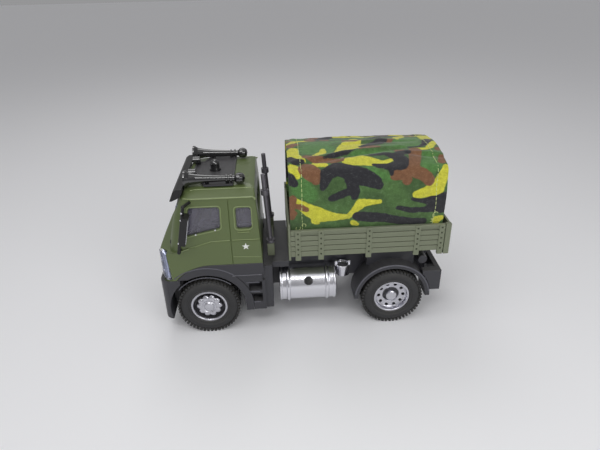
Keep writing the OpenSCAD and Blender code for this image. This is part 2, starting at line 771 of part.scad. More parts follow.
// rear rim with a dished face
module rear_rim() {
    r = rim_d / 2;
    color(silver) difference() {
        translate([rear_axle_x, half_w - tyre_w, axle_z]) rotate([-90, 0, 0]) rotate_extrude()
            polygon([[0, 2], [r, 2], [r, tyre_w - 0.3], [r - 0.9, tyre_w - 0.3], [r - 1.6, tyre_w - 2.6],
                     [r - 3.4, tyre_w - 4.2], [r - 5.6, tyre_w - 4.6], [r - 6.2, tyre_w - 2.4],
                     [r - 7, tyre_w - 1.9], [0, tyre_w - 1.7]]);
        wheel_cyl(rear_axle_x, axle_z, axle_d / 2 + press, 0, half_w - 3 + fit);
    }
}

chassis_base();
front_bumper();
cab_shell();
cab_glazing();
cab_interior();
steering_wheel();
grille();
on_side(1) headlight();  // headlight_left
on_side(-1) headlight();  // headlight_right
sun_visor();
on_side(1) front_arch();  // front_arch_left
on_side(-1) front_arch();  // front_arch_right
on_side(1) cab_step();  // cab_step_left
on_side(-1) cab_step();  // cab_step_right
roof_platform();
on_side(1) roof_horn();  // roof_horn_left
on_side(-1) roof_horn();  // roof_horn_right
roof_beacon();
roof_lamps();
on_side(1) mirror_arm();  // mirror_left
on_side(-1) mirror_arm();  // mirror_right
on_side(1) exhaust_stack();  // exhaust_stack_left
on_side(-1) exhaust_stack();  // exhaust_stack_right
stack_base();
on_side(1) fuel_tank();  // fuel_tank_left
on_side(-1) fuel_tank();  // fuel_tank_right
on_side(1) air_cup();  // air_cup_left
on_side(-1) air_cup();  // air_cup_right
on_side(1) rear_arch();  // rear_arch_left
on_side(-1) rear_arch();  // rear_arch_right
rear_crossbar();
tail_lamps();
air_tank();
bed_deck();
on_side(1) side_board();  // side_board_left
on_side(-1) side_board();  // side_board_right
headboard();
tailgate();
canopy_frame();
canopy_cover();
axle(front_axle_x);  // front_axle
on_side(1) tyre(front_axle_x);  // front_tyre_left
on_side(-1) tyre(front_axle_x);  // front_tyre_right
on_side(1) front_rim();  // front_rim_left
on_side(-1) front_rim();  // front_rim_right
axle(rear_axle_x);  // rear_axle
on_side(1) tyre(rear_axle_x);  // rear_tyre_left
on_side(-1) tyre(rear_axle_x);  // rear_tyre_right
on_side(1) rear_rim();  // rear_rim_left
on_side(-1) rear_rim();  // rear_rim_right
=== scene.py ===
# %% [markdown]
# # A toy army lorry, finished round its working frame
#
# The lorry is a die-cast and plastic toy about 15 cm long. Its working model comes first: every piece
# that rolls, carries or joins is already in the frame, at its real size. This script gives those pieces
# rounded edges, seams, rivets, tread, cloth and finishes, and never moves one of them.
#
# The frame is loaded before anything else, because all places below are read from it.

# %% Load the frame
import json
import math
import bmesh
import bpy
import numpy
from mathutils import Matrix, Vector, noise
from mathutils.bvhtree import BVHTree

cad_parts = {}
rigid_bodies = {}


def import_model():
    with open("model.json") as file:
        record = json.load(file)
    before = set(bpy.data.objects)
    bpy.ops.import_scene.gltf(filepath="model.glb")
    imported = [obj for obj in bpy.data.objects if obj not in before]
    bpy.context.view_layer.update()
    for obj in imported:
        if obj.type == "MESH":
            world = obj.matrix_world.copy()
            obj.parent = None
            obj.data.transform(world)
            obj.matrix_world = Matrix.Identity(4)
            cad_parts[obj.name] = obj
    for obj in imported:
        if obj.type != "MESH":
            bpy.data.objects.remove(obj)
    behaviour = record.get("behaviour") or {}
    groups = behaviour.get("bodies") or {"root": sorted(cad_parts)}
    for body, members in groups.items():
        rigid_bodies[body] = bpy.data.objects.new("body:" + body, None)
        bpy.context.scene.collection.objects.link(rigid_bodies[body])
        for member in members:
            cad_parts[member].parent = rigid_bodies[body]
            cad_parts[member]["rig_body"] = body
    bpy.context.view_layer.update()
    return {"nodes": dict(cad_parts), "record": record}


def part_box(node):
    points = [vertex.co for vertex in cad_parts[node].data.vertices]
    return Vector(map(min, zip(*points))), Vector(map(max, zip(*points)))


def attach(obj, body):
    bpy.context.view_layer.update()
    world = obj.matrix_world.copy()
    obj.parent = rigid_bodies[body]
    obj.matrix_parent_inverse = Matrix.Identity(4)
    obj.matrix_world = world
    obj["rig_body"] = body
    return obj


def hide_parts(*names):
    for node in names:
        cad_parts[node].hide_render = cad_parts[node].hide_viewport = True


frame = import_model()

print("pieces in the frame:", len(frame["nodes"]))

# %% [markdown]
# ## Millimetres
#
# A toy is drawn in millimetres and Blender works in metres. So shapes are written in millimetres and one
# function scales them at the end. Corners of a piece in the frame are read back in millimetres too.

# %% Units and places
MM = 0.001
UP = Vector((0, 0, 1))
LEFT, RIGHT = Vector((0, 1, 0)), Vector((0, -1, 0))
SIDES = (("left", LEFT), ("right", RIGHT))
slot_of = {part["node"]: part["material_slot"] for part in frame["record"]["subparts"]}


def corners(node):
    """Lowest and highest corner of a frame piece, in millimetres."""
    low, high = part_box(node)
    return low / MM, high / MM


def middle(node):
    low, high = corners(node)
    return (low + high) / 2


def link(name, data):
    """A new object, put in the scene."""
    made = bpy.data.objects.new(name, data)
    bpy.context.scene.collection.objects.link(made)
    return made


front_hub = middle("front_axle")
rear_hub = middle("rear_axle")
tyre_low, tyre_high = corners("front_tyre_left")
half_width = tyre_high.y
tyre_radius = (tyre_high.z - tyre_low.z) / 2
print("wheelbase in mm:", round(front_hub.x - rear_hub.x, 2))

# %% [markdown]
# ## Camera, floor and light
#
# A toy is looked at from above and from the side, as on a desk. The camera gets its axes from the way it
# looks, plus a small roll, since a camera in the hand is never quite level. The light is a wide soft
# ceiling, round panels beside, over and behind the lorry, and an even pale room, so colours come out as
# they are written. One narrow strip draws the bright line that gloss and plating have.

# %% Camera
EYE = Vector((12.5, 246.2, 180.0))
AIM = Vector((-0.2, 0, 49.1))
ROLL = math.radians(1.3)
LENS = 29.5

ahead = (AIM - EYE).normalized()
level_right = ahead.cross(UP).normalized()
level_up = level_right.cross(ahead)
camera_up = level_up * math.cos(ROLL) + level_right * math.sin(ROLL)
camera_axes = Matrix((ahead.cross(camera_up), camera_up, -ahead)).transposed()

camera = link("camera", bpy.data.cameras.new("camera"))
camera.data.lens = LENS
camera.data.sensor_width = 36
camera.data.clip_start = 0.01
camera.matrix_world = Matrix.Translation(EYE * MM) @ camera_axes.to_4x4()
bpy.context.scene.camera = camera
print("camera stands", round((AIM - EYE).length), "mm from the lorry")

# %% [markdown]
# A node tree is a list of nodes and links, so a few small helpers keep every material and every Geometry
# Nodes tree below short. One adds a node and fills it in, one starts a tree with its named inputs and
# outputs, and three stand for the nodes that turn up most.

# %% Helpers for node trees
def add(tree, kind, inputs=None, **settings):
    """Adds a node. Each input takes a plain value, or another node's output."""
    made = tree.nodes.new(kind)
    for key, value in settings.items():
        setattr(made, key, value)
    for key, value in (inputs or {}).items():
        if isinstance(value, bpy.types.NodeSocket):
            tree.links.new(value, made.inputs[key])
        else:
            made.inputs[key].default_value = value
    return made


def new_tree(name, kind, inputs, outputs):
    """A node tree and its input sockets. Each socket is (name, kind) or (name, kind, value)."""
    tree = bpy.data.node_groups.new(name, kind + "NodeTree")
    for in_out, sockets in (("INPUT", inputs), ("OUTPUT", outputs)):
        for label, type_name, *value in sockets:
            made = tree.interface.new_socket(label, in_out=in_out, socket_type="NodeSocket" + type_name)
            if value:
                made.default_value = value[0]
    return tree, add(tree, "NodeGroupInput").outputs


def noise_of(tree, place, scale, detail, **more):
    """The even grey of a noise texture at a place."""
    inputs = {"Vector": place, "Scale": scale, "Detail": detail, **more}
    return add(tree, "ShaderNodeTexNoise", inputs).outputs["Fac"]


def math_node(tree, operation, a, b=0.0, clamp=False):
    """One sum on two values or sockets; gives back its output."""
    return add(tree, "ShaderNodeMath", {0: a, 1: b}, operation=operation, use_clamp=clamp).outputs[0]


def mix_colour(tree, share, first, second):
    """Blends two colours. On a Mix node, sockets 6 and 7 are the colours and output 2 is their mix."""
    return add(tree, "ShaderNodeMix", {0: share, 6: first, 7: second}, data_type="RGBA").outputs[2]


def linear(red, green, blue):
    """A colour picked on a 0 to 255 display scale, as the linear colour that shaders work in."""
    parts = [c / 255 for c in (red, green, blue)]
    return tuple(((c + 0.055) / 1.055) ** 2.4 if c > 0.04 else c / 12.92 for c in parts) + (1,)


# %% Lamps
def lamp(name, kind, power, at, towards):
    """A lamp at a place, turned to shine towards another; gives back its settings."""
    made = link(name, bpy.data.lights.new(name, kind))
    made.location = Vector(at) * MM
    made.rotation_euler = (Vector(towards) - Vector(at)).to_track_quat("-Z", "Y").to_euler()
    made.data.energy = power
    return made.data


def panel(name, power, at, along, across):
    """An area lamp that shines at the lorry: a disc, or a strip when it is longer than it is wide."""
    made = lamp(name, "AREA", power, at, (0, 0, 45))
    made.shape = "DISK" if along == across else "RECTANGLE"
    made.size, made.size_y = along * MM, across * MM


lamp("ceiling", "SUN", 0.25, (0, 0, 0), (-0.15, -0.25, -1)).angle = math.radians(60)
panel("beside_camera", 0.75, (-260, 420, 300), 300, 300)
panel("strip", 0.5, (90, 330, 430), 260, 60)
panel("over_cab", 0.22, (200, 120, 420), 260, 260)
panel("far_side", 0.55, (60, -330, 560), 300, 300)

# %% Room and floor
PALE = linear(236, 236, 238)
room = bpy.data.worlds.new("room")
room.use_nodes = True
room.node_tree.nodes["Background"].inputs["Color"].default_value = PALE
room.node_tree.nodes["Background"].inputs["Strength"].default_value = 0.36
bpy.context.scene.world = room
bpy.context.scene.view_settings.view_transform = "Standard"

floor_material = bpy.data.materials.new("floor")
floor_material.use_nodes = True
floor_shader = floor_material.node_tree.nodes["Principled BSDF"]
floor_shader.inputs["Base Color"].default_value = linear(242, 242, 244)
floor_shader.inputs["Roughness"].default_value = 0.7

floor_mesh = bpy.data.meshes.new("floor")
FLOOR_REACH = 3.0
corner_ways = ((-1, -1), (1, -1), (1, 1), (-1, 1))
floor_mesh.from_pydata([(x * FLOOR_REACH, y * FLOOR_REACH, 0) for x, y in corner_ways], [], [(0, 1, 2, 3)])
floor_mesh.materials.append(floor_material)
floor = link("floor", floor_mesh)
print("floor reaches", FLOOR_REACH, "m each way")

# %% [markdown]
# ## Finishes
#
# Moulded plastic is never quite even: its surface has a fine grain from the mould and its gloss wanders a
# little. Dust settles on whatever points up. Both effects turn up in nearly every finish here, so each is
# one node group with named inputs, placed in a material with that material's own values.

# %% Node group: moulded grain
def make_grain_group():
    group, values = new_tree("moulded grain", "Shader",
                             [("Size", "Float", 0.4), ("Roughness", "Float", 0.4), ("Wander", "Float", 0.1)],
                             [("Height", "Float"), ("Uneven Roughness", "Float")])
    place = add(group, "ShaderNodeTexCoord").outputs["Object"]
    fine = noise_of(group, place, math_node(group, "DIVIDE", 1 / MM, values["Size"]), 2.0)
    broad = noise_of(group, place, 160.0, 3.0)
    drift = math_node(group, "MULTIPLY", math_node(group, "SUBTRACT", broad, 0.5), values["Wander"])
    rough = math_node(group, "ADD", values["Roughness"], drift, clamp=True)
    add(group, "NodeGroupOutput", {"Height": fine, "Uneven Roughness": rough})
    return group


# %% Node group: settled dust
def make_dust_group():
    group, values = new_tree("settled dust", "Shader",
                             [("Color", "Color"), ("Dust", "Color", linear(176, 172, 160)),
                              ("Amount", "Float", 0.1)],
                             [("Dusty Color", "Color")])
    place = add(group, "ShaderNodeTexCoord").outputs
    up = add(group, "ShaderNodeSeparateXYZ", {0: place["Normal"]}).outputs["Z"]
    faces_up = math_node(group, "MAXIMUM", up, 0.0)
    flecks = noise_of(group, place["Object"], 420.0, 5.0, Roughness=0.7)
    layer = math_node(group, "MULTIPLY", math_node(group, "MULTIPLY", faces_up, flecks), values["Amount"])
    add(group, "NodeGroupOutput", {"Dusty Color": mix_colour(group, layer, values["Color"], values["Dust"])})
    return group


grain_group = make_grain_group()
dust_group = make_dust_group()
print("shared effects:", [g.name for g in bpy.data.node_groups])

# %% [markdown]
# A finish starts from the same few steps: a shader, a base colour that passes through the dust group, and
# a roughness and a bump that come from the grain group. What makes one finish differ from another is its
# values, so one function makes them all and the special ones set plain shader inputs of their own.

# %% One function for moulded and painted finishes
def finish_material(name, colour, roughness, wander=0.12, grain_size=0.4, grain_depth=0.004, dust=0.1,
                    **shader):
    """A material with dust and grain. Extra words set plain shader inputs, such as Metallic=1."""
    made = bpy.data.materials.new(name)
    made.use_nodes = True
    tree = made.node_tree
    bsdf = tree.nodes["Principled BSDF"]
    dusty = add(tree, "ShaderNodeGroup", node_tree=dust_group)
    dusty.inputs["Color"].default_value = colour
    dusty.inputs["Amount"].default_value = dust
    grain = add(tree, "ShaderNodeGroup", node_tree=grain_group)
    grain.inputs["Size"].default_value = grain_size
    grain.inputs["Roughness"].default_value = roughness
    grain.inputs["Wander"].default_value = wander
    bump = add(tree, "ShaderNodeBump", {"Height": grain.outputs["Height"], "Distance": grain_depth * MM})
    tree.links.new(dusty.outputs[0], bsdf.inputs["Base Color"])
    tree.links.new(grain.outputs["Uneven Roughness"], bsdf.inputs["Roughness"])
    tree.links.new(bump.outputs["Normal"], bsdf.inputs["Normal"])
    for key, value in shader.items():
        bsdf.inputs[key.replace("_", " ")].default_value = value
    return made


# %% Plastics, paints and metals
OLIVE_PAINT = linear(88, 102, 58)
OLIVE_MOULDING = linear(116, 122, 100)
BLACK_MOULDING = linear(52, 52, 57)
GLOSS_BLACK = linear(16, 16, 18)
PLATED = linear(222, 222, 228)

cab_paint = finish_material("cab_paint", OLIVE_PAINT, 0.42, wander=0.1, grain_size=0.9,
                            grain_depth=0.012, dust=0.04, Coat_Weight=0.25, Coat_Roughness=0.25)
olive_plastic = finish_material("olive_plastic", OLIVE_MOULDING, 0.52, grain_depth=0.01, dust=0.15)
black_plastic = finish_material("black_plastic", BLACK_MOULDING, 0.4, wander=0.2, grain_depth=0.008,
                                dust=0.12)
gloss_black = finish_material("gloss_black", GLOSS_BLACK, 0.12, wander=0.08, grain_size=2.0,
                              grain_depth=0.004, dust=0.02, Coat_Weight=0.6, Coat_Roughness=0.05, IOR=1.8)
interior_grey = finish_material("interior_grey", linear(112, 110, 120), 0.5)
silver_plating = finish_material("silver_plating", PLATED, 0.24, wander=0.1, grain_size=1.4,
                                 grain_depth=0.006, dust=0.03, Metallic=1.0)
rim_plating = finish_material("rim_plating", linear(205, 205, 212), 0.28, wander=0.06, grain_size=0.7,
                              grain_depth=0.002, dust=0.05, Metallic=1.0)
axle_steel = finish_material("axle_steel", linear(150, 150, 154), 0.35, Metallic=1.0)
tyre_rubber = finish_material("tyre_rubber", linear(44, 44, 45), 0.62, wander=0.2, grain_size=0.3,
                              grain_depth=0.02, dust=0.2)
lamp_red = finish_material("lamp_red", linear(170, 20, 16), 0.15, dust=0.02, Coat_Weight=0.5)
lamp_silver = finish_material("lamp_silver", linear(196, 202, 222), 0.3, grain_size=1.2, dust=0.0,
                              Metallic=0.7)
# darker olive for groove bottoms, post edges and rivets: painted shadow
shadow_olive = finish_material("shadow_olive", linear(62, 68, 48), 0.6, dust=0.0)
visor_black = finish_material("visor_black", linear(20, 20, 22), 0.42, dust=0.03)
# paler olive for beads, gutter, ledges and crease: a painted highlight along each raised line
cab_painted_highlight = finish_material("cab_painted_highlight", linear(126, 140, 92), 0.32, dust=0.04, Coat_Weight=0.3)
# paler grey for arch lips, skirt ridge and step treads: a painted highlight
black_painted_highlight = finish_material("black_painted_highlight", linear(86, 86, 94), 0.3, dust=0.05)
mirror_silver = finish_material("mirror_silver", linear(214, 216, 222), 0.04, dust=0.0, Metallic=1.0)
stack_grey = finish_material("stack_grey", linear(92, 89, 96), 0.3, dust=0.04, Coat_Weight=0.3)
white_print = finish_material("white_print", linear(226, 228, 224), 0.5, dust=0.05)
# dark grey for the deep parts of the rims: painted shade
well_painted_shade = finish_material("well_painted_shade", linear(58, 58, 62), 0.5, dust=0.05)
print("plastics, paints and metals are ready")

# %% [markdown]
# Clear parts are a shader of their own kind. The light that passes through is a plain value on the shader,
# and the base colour is the faint tint of the moulding.

# %% Clear mouldings
def clear_material(name, tint, roughness, passing=1.0):
    made = bpy.data.materials.new(name)
    made.use_nodes = True
    bsdf = made.node_tree.nodes["Principled BSDF"]
    bsdf.inputs["Base Color"].default_value = tint
    bsdf.inputs["Roughness"].default_value = roughness
    bsdf.inputs["Transmission Weight"].default_value = passing
    bsdf.inputs["IOR"].default_value = 1.49
    return made


clear_glazing = clear_material("clear_glazing", linear(210, 208, 224), 0.06, 0.9)
lamp_clear = clear_material("lamp_clear", linear(235, 238, 250), 0.06)

# %% Finishes by the frame's own slots
finish_of = {
    "cab_paint": cab_paint, "black_plastic": black_plastic, "gloss_black": gloss_black,
    "olive_plastic": olive_plastic, "interior_grey": interior_grey, "clear_glazing": clear_glazing,
    "lamp_clear": lamp_clear, "lamp_red": lamp_red, "silver_plating": silver_plating,
    "tyre_rubber": tyre_rubber, "axle_steel": axle_steel, "camo_cloth": olive_plastic,
}
for name, shown in frame["nodes"].items():
    shown.data.materials.clear()
    shown.data.materials.append(finish_of[slot_of[name]])
for name, finish in (("sun_visor", visor_black), ("mirror_left", visor_black), ("mirror_right", visor_black),
                     ("exhaust_stack_left", stack_grey), ("exhaust_stack_right", stack_grey)):
    frame["nodes"][name].data.materials[0] = finish
print("frame pieces with a finish:", len(frame["nodes"]))

# %% [markdown]
# ## Making a piece
#
# Every piece here ends the same way: it is scaled from millimetres, its soft and sharp edges are marked,
# and it is tied to the body that it moves with. A frame piece whose edges are too crisp is copied, welded,
# given a fine bevel and shown in place of the original, which stays behind it for the motion.

# %% Build and soften pieces
def as_piece(name, mesh, body, slot, *materials, smooth=35):
    """Ends a mesh drawn in millimetres as an object that rides on a body."""
    bmesh.ops.scale(mesh, vec=(MM, MM, MM), verts=mesh.verts)
    data = bpy.data.meshes.new(name)
    mesh.to_mesh(data)
    mesh.free()
    for material in materials or [finish_of[slot]]:
        data.materials.append(material)
    data.shade_smooth()
    data.set_sharp_from_angle(angle=math.radians(smooth))
    made = link(name, data)
    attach(made, body)
    return made


def round_edges(piece, width, segments=2, angle=30):
    """A live bevel on the edges that are sharper than an angle."""
    bevel = piece.modifiers.new("rounded edges", "BEVEL")
    bevel.width = width * MM
    bevel.segments = segments
    bevel.limit_method = "ANGLE"
    bevel.angle_limit = math.radians(angle)
    bevel.miter_outer = "MITER_ARC"
    bevel.harden_normals = True
    return piece


def frame_copy(node):
    """A welded copy of a frame piece's mesh, in millimetres, with its flat faces whole again."""
    mesh = bmesh.new()
    mesh.from_mesh(frame["nodes"][node].data)
    bmesh.ops.scale(mesh, vec=(1 / MM, 1 / MM, 1 / MM), verts=mesh.verts)
    bmesh.ops.remove_doubles(mesh, verts=mesh.verts, dist=0.004)
    bmesh.ops.dissolve_limit(mesh, angle_limit=math.radians(0.6), verts=mesh.verts, edges=mesh.edges)
    return mesh


def soften(node, width=0.3, segments=2, angle=30):
    """Shows a frame piece with rounded edges in place of the crisp one."""
    body = frame["nodes"][node]["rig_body"]
    worn = frame["nodes"][node].data.materials[0]
    made = as_piece(node + "_shown", frame_copy(node), body, slot_of[node], worn, smooth=angle)
    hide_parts(node)
    return round_edges(made, width, segments, angle)


# %% Round the edges of the plain mouldings
EDGE = {
    "cab_shell": 0.35, "front_bumper": 0.5, "cab_interior": 0.4, "grille": 0.12, "sun_visor": 0.2,
    "front_arch_left": 0.35, "front_arch_right": 0.35, "cab_step_left": 0.25, "cab_step_right": 0.25,
    "rear_arch_left": 0.3, "rear_arch_right": 0.3, "rear_crossbar": 0.3, "chassis_base": 0.3,
    "bed_deck": 0.2, "side_board_left": 0.25, "side_board_right": 0.25, "headboard": 0.25,
    "tailgate": 0.25, "canopy_frame": 0.2, "stack_base": 0.3, "roof_platform": 0.12, "tail_lamps": 0.2,
    "mirror_left": 0.2, "mirror_right": 0.2,
}
for name, width in EDGE.items():
    soften(name, width)
print("softened:", len(EDGE))

# %% [markdown]
# ## Wheels
#
# A tyre is a turned shape with blocks of tread round it. The carcass is one profile spun about the axle.
# The tread is a ring of copies, which is what Geometry Nodes are for: a circle gives the points, each
# point gets a copy turned outwards, and the copies are made real at the end so that nothing is left as an
# instance.

# %% Spin a profile about a wheel's axle
def lathe(mesh, profile, centre, axis=(0, 1, 0), steps=96):
    """Spins (radius, along) points, in millimetres, about an axis through centre."""
    direction = Vector(axis).normalized()
    side = direction.orthogonal().normalized()
    other = direction.cross(side)
    rings = []
    for radius, along in profile:
        base = Vector(centre) + direction * along
        if radius == 0:
            rings.append([mesh.verts.new(base)])
            continue
        turns = [2 * math.pi * k / steps for k in range(steps)]
        spots = [base + (side * math.cos(t) + other * math.sin(t)) * radius for t in turns]
        rings.append([mesh.verts.new(spot) for spot in spots])
    for first, second in zip(rings, rings[1:]):
        for k in range(steps):
            quad = [first[k % len(first)], first[(k + 1) % len(first)],
                    second[(k + 1) % len(second)], second[k % len(second)]]
            corners_used = list(dict.fromkeys(quad))
            if len(corners_used) > 2:
                mesh.faces.new(corners_used)
    bmesh.ops.recalc_face_normals(mesh, faces=mesh.faces)


def rounded_profile(points, radius, steps=4):
    """Cuts each inner corner of a profile into a small arc."""
    made = [points[0]]
    for before, here, after in zip(points, points[1:], points[2:]):
        a, b, c = Vector(before), Vector(here), Vector(after)
        reach = min(radius, (a - b).length * 0.45, (c - b).length * 0.45)
        start, end = b + (a - b).normalized() * reach, b + (c - b).normalized() * reach
        for k in range(steps + 1):
            t = k / steps
            made.append(tuple((1 - t) ** 2 * start + 2 * t * (1 - t) * b + t ** 2 * end))
    return made + [points[-1]]


# %% Geometry Nodes: a ring of copies
def end_with_copies(tree, values, instancing):
    """Closes a tree: copies are set on points, made real and given their material."""
    copies = add(tree, "GeometryNodeInstanceOnPoints", instancing).outputs[0]
    real = add(tree, "GeometryNodeRealizeInstances", {0: copies}).outputs[0]
    painted = {"Geometry": real, "Material": values["Material"]}
    done = add(tree, "GeometryNodeSetMaterial", painted).outputs[0]
    add(tree, "NodeGroupOutput", {"Geometry": done})
    return tree


def make_ring_tree():
    tree, values = new_tree("ring of copies", "Geometry",
                            [("Geometry", "Geometry"), ("Item", "Object"), ("Count", "Int", 12),
                             ("Radius", "Float", 0.01), ("Centre", "Vector"), ("First Turn", "Float", 0.0),
                             ("Material", "Material")], [("Geometry", "Geometry")])
    stack = {"Count": values["Count"], "Offset": (0, 0, 0)}
    points = add(tree, "GeometryNodeMeshLine", stack).outputs["Mesh"]
    share = math_node(tree, "DIVIDE", add(tree, "GeometryNodeInputIndex").outputs[0], values["Count"])
    turn = math_node(tree, "ADD", math_node(tree, "MULTIPLY", share, 2 * math.pi), values["First Turn"])
    across = math_node(tree, "MULTIPLY", math_node(tree, "COSINE", turn), values["Radius"])
    upward = math_node(tree, "MULTIPLY", math_node(tree, "SINE", turn), values["Radius"])
    place = add(tree, "ShaderNodeCombineXYZ", {"X": across, "Z": upward}).outputs[0]
    place = add(tree, "ShaderNodeVectorMath", {0: place, 1: values["Centre"]}, operation="ADD").outputs[0]
    points = add(tree, "GeometryNodeSetPosition", {"Geometry": points, "Position": place}).outputs[0]
    back = math_node(tree, "MULTIPLY", turn, -1.0)
    facing = add(tree, "ShaderNodeCombineXYZ", {"Y": back}).outputs[0]
    item = add(tree, "GeometryNodeObjectInfo", {"Object": values["Item"]}).outputs["Geometry"]
    return end_with_copies(tree, values, {"Points": points, "Instance": item, "Rotation": facing})


ring_tree = make_ring_tree()


# %% Run a tree and keep its mesh
def grow(tree, base=None, **values):
    """Evaluates a Geometry Nodes tree once and gives back its result as a plain mesh."""
    holder = link("holder", base or bpy.data.meshes.new("empty"))
    modifier = holder.modifiers.new("grow", "NODES")
    modifier.node_group = tree
    names = {s.name: s.identifier for s in tree.interface.items_tree if s.in_out == "INPUT"}
    for key, value in values.items():
        modifier[names[key.replace("_", " ")]] = value
    bpy.context.view_layer.update()
    grown = bpy.data.meshes.new_from_object(holder.evaluated_get(bpy.context.evaluated_depsgraph_get()))
    holder.modifiers.remove(modifier)
    bpy.data.objects.remove(holder)
    return grown


def item_object(name, mesh):
    """An object, drawn in millimetres, that a tree copies."""
    bmesh.ops.scale(mesh, vec=(MM, MM, MM), verts=mesh.verts)
    data = bpy.data.meshes.new(name)
    mesh.to_mesh(data)
    mesh.free()
    return link(name, data)


def from_mesh(data):
    """A grown mesh as a bmesh in millimetres, ready for as_piece or for joining."""
    mesh = bmesh.new()
    mesh.from_mesh(data)
    bmesh.ops.scale(mesh, vec=(1 / MM, 1 / MM, 1 / MM), verts=mesh.verts)
    return mesh


def chamfered_block(size, chamfer):
    """A block with chamfered edges, centred on the origin."""
    mesh = bmesh.new()
    bmesh.ops.create_cube(mesh, size=1)
    bmesh.ops.scale(mesh, vec=size, verts=mesh.verts)
    bmesh.ops.bevel(mesh, geom=mesh.edges[:], offset=chamfer, segments=1, affect="EDGES")
    return mesh


def block_at(mesh, centre, size, chamfer=0.2):
    """Adds a chamfered block to a mesh."""
    block = chamfered_block(size, chamfer)
    bmesh.ops.translate(block, vec=centre, verts=block.verts)
    part = bpy.data.meshes.new("block")
    block.to_mesh(part)
    mesh.from_mesh(part)
    block.free()


# %% [markdown]
# The tyre of a military lorry has open shoulder lugs that wrap down onto the sidewall, and two rows of
# offset blocks in the middle. The carcass is kept a little under the full radius, so that the tops of the
# blocks reach the true size.

# %% Tyres
tread_depth = 0.75
carcass_radius = tyre_radius - tread_depth
tyre_width = tyre_high.y - tyre_low.y
bead_radius = (corners("front_rim_left")[1].z - corners("front_rim_left")[0].z) / 2

WALL = ((0.03, 0.5), (0.25, 0.12), (1.0, 0.0), (1.2, 0.22),
        (1.5, 0.22), (1.7, 0.02), (3.2, 0.0), (4.6, 0.25))
wall_profile = [(bead_radius + out, depth) for out, depth in WALL]
wall_profile += [(carcass_radius - 0.5, 0.75), (carcass_radius, 1.6)]
lug_tilt = math.radians(8)
shoulder_slant = math.radians(9)
# each row: which side of the middle, how far out, how many blocks, and a block's length and width
TREAD_ROWS = [(way, *row) for row in ((0.36, 50, 3.4, 1.15), (0.1, 36, 2.4, 1.4)) for way in (-1, 1)]


def tyre(axle, side):
    """One tyre: carcass, shoulder lugs and two rows of middle blocks."""
    name = f"{axle}_tyre_{side}"
    hub = middle(name)
    mesh = bmesh.new()
    outside = [(r, -tyre_width / 2 + depth) for r, depth in wall_profile]
    inside = [(r, -along) for r, along in reversed(outside)]
    closed = outside + inside + [outside[0]]
    lathe(mesh, closed, hub, steps=120)
    bmesh.ops.remove_doubles(mesh, verts=mesh.verts, dist=0.001)
    bmesh.ops.recalc_face_normals(mesh, faces=mesh.faces)
    carcass = as_piece(name + "_carcass", mesh, f"{axle}_wheels", "tyre_rubber", smooth=50)
    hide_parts(name)

    lugs = bmesh.new()
    for row, (way, share, count, long, wide) in enumerate(TREAD_ROWS):
        block = chamfered_block((tread_depth * 2, long, wide), 0.16)
        if share > 0.3:
            slant = Matrix.Rotation(-way * shoulder_slant, 3, "Z")
            bmesh.ops.rotate(block, verts=block.verts, matrix=slant)
        bmesh.ops.rotate(block, verts=block.verts, matrix=Matrix.Rotation(way * lug_tilt, 3, "X"))
        item = item_object("lug", block)
        grown = grow(ring_tree, Item=item, Count=count, Radius=carcass_radius * MM,
                     Centre=(hub + Vector((0, way * share * tyre_width, 0))) * MM,
                     First_Turn=math.pi / count * (row % 2 + (row > 1) * 0.5), Material=tyre_rubber)
        lugs.from_mesh(grown)
        bpy.data.objects.remove(item)
    bmesh.ops.scale(lugs, vec=(1 / MM, 1 / MM, 1 / MM), verts=lugs.verts)
    for corner in lugs.verts:
        # blocks end on the true outer radius and inside the tyre's own width
        from_axle = Vector((corner.co.x - hub.x, 0, corner.co.z - hub.z))
        if from_axle.length > tyre_radius:
            corner.co -= from_axle.normalized() * (from_axle.length - tyre_radius)
        corner.co.y = max(hub.y - tyre_width / 2 + 0.15, min(hub.y + tyre_width / 2 - 0.15, corner.co.y))
    as_piece(name + "_tread", lugs, f"{axle}_wheels", "tyre_rubber", smooth=20)


for axle in ("front", "rear"):
    for side, _ in SIDES:
        tyre(axle, side)
print("tread blocks on a tyre:", sum(row[2] for row in TREAD_ROWS))

# %% [markdown]
# The two rims differ. The front one has a domed hub with ten scalloped lobes standing in a deep well; the
# rear one is dished, with ten round holes and a plain round hub. Both faces are a disc of points whose
# height is a formula of the radius and the angle, so the lobes and the holes need no cutting. The deepest
# parts, the well and the holes, are painted dark grey as painted shade.

# %% Rim faces as height fields
def smooth_step(low, high, value):
    t = max(0.0, min(1.0, (value - low) / (high - low)))
    return t * t * (3 - 2 * t)


def blend_heights(stops, radius):
    """Height at a radius, between (radius, height) stops, with rounded shoulders."""
    for (r0, h0), (r1, h1) in zip(stops, stops[1:]):
        if radius <= r1:
            return h0 + (h1 - h0) * smooth_step(r0, r1, radius)
    return stops[-1][1]


LOBES = 10
LIP = [(bead_radius - inset, height)
       for inset, height in ((1.35, -0.9), (1.0, -0.12), (0.55, 0.0), (0.1, -0.22))]
front_stops = [(0, 0.45), (2.2, 0.2), (3.0, -0.55), (3.4, -0.6), (4.0, -0.2), (5.2, -0.3), (7.4, -1.2)]
rear_stops = [(0, -1.0), (2.4, -1.0), (2.95, -1.35), (3.05, -3.4), (4.3, -3.6), (4.7, -2.9), (6.0, -2.8),
              (7.7, -2.6), (8.1, -2.2)]


def front_height(radius, turn):
    """Dome with ten lobes, a deep well round them, and the lip."""
    if radius > LIP[0][0]:
        return blend_heights(LIP, radius)
    lobe_edge = 5.7 + 1.6 * abs(math.cos(turn * LOBES / 2)) ** 0.5
    fall = smooth_step(lobe_edge - 0.5, lobe_edge, radius)
    valley = 0.7 * smooth_step(3.9, 6.4, radius) * (1 - abs(math.cos(turn * LOBES / 2))) ** 1.6
    return (blend_heights(front_stops, radius) - valley) * (1 - fall) - 3.0 * fall


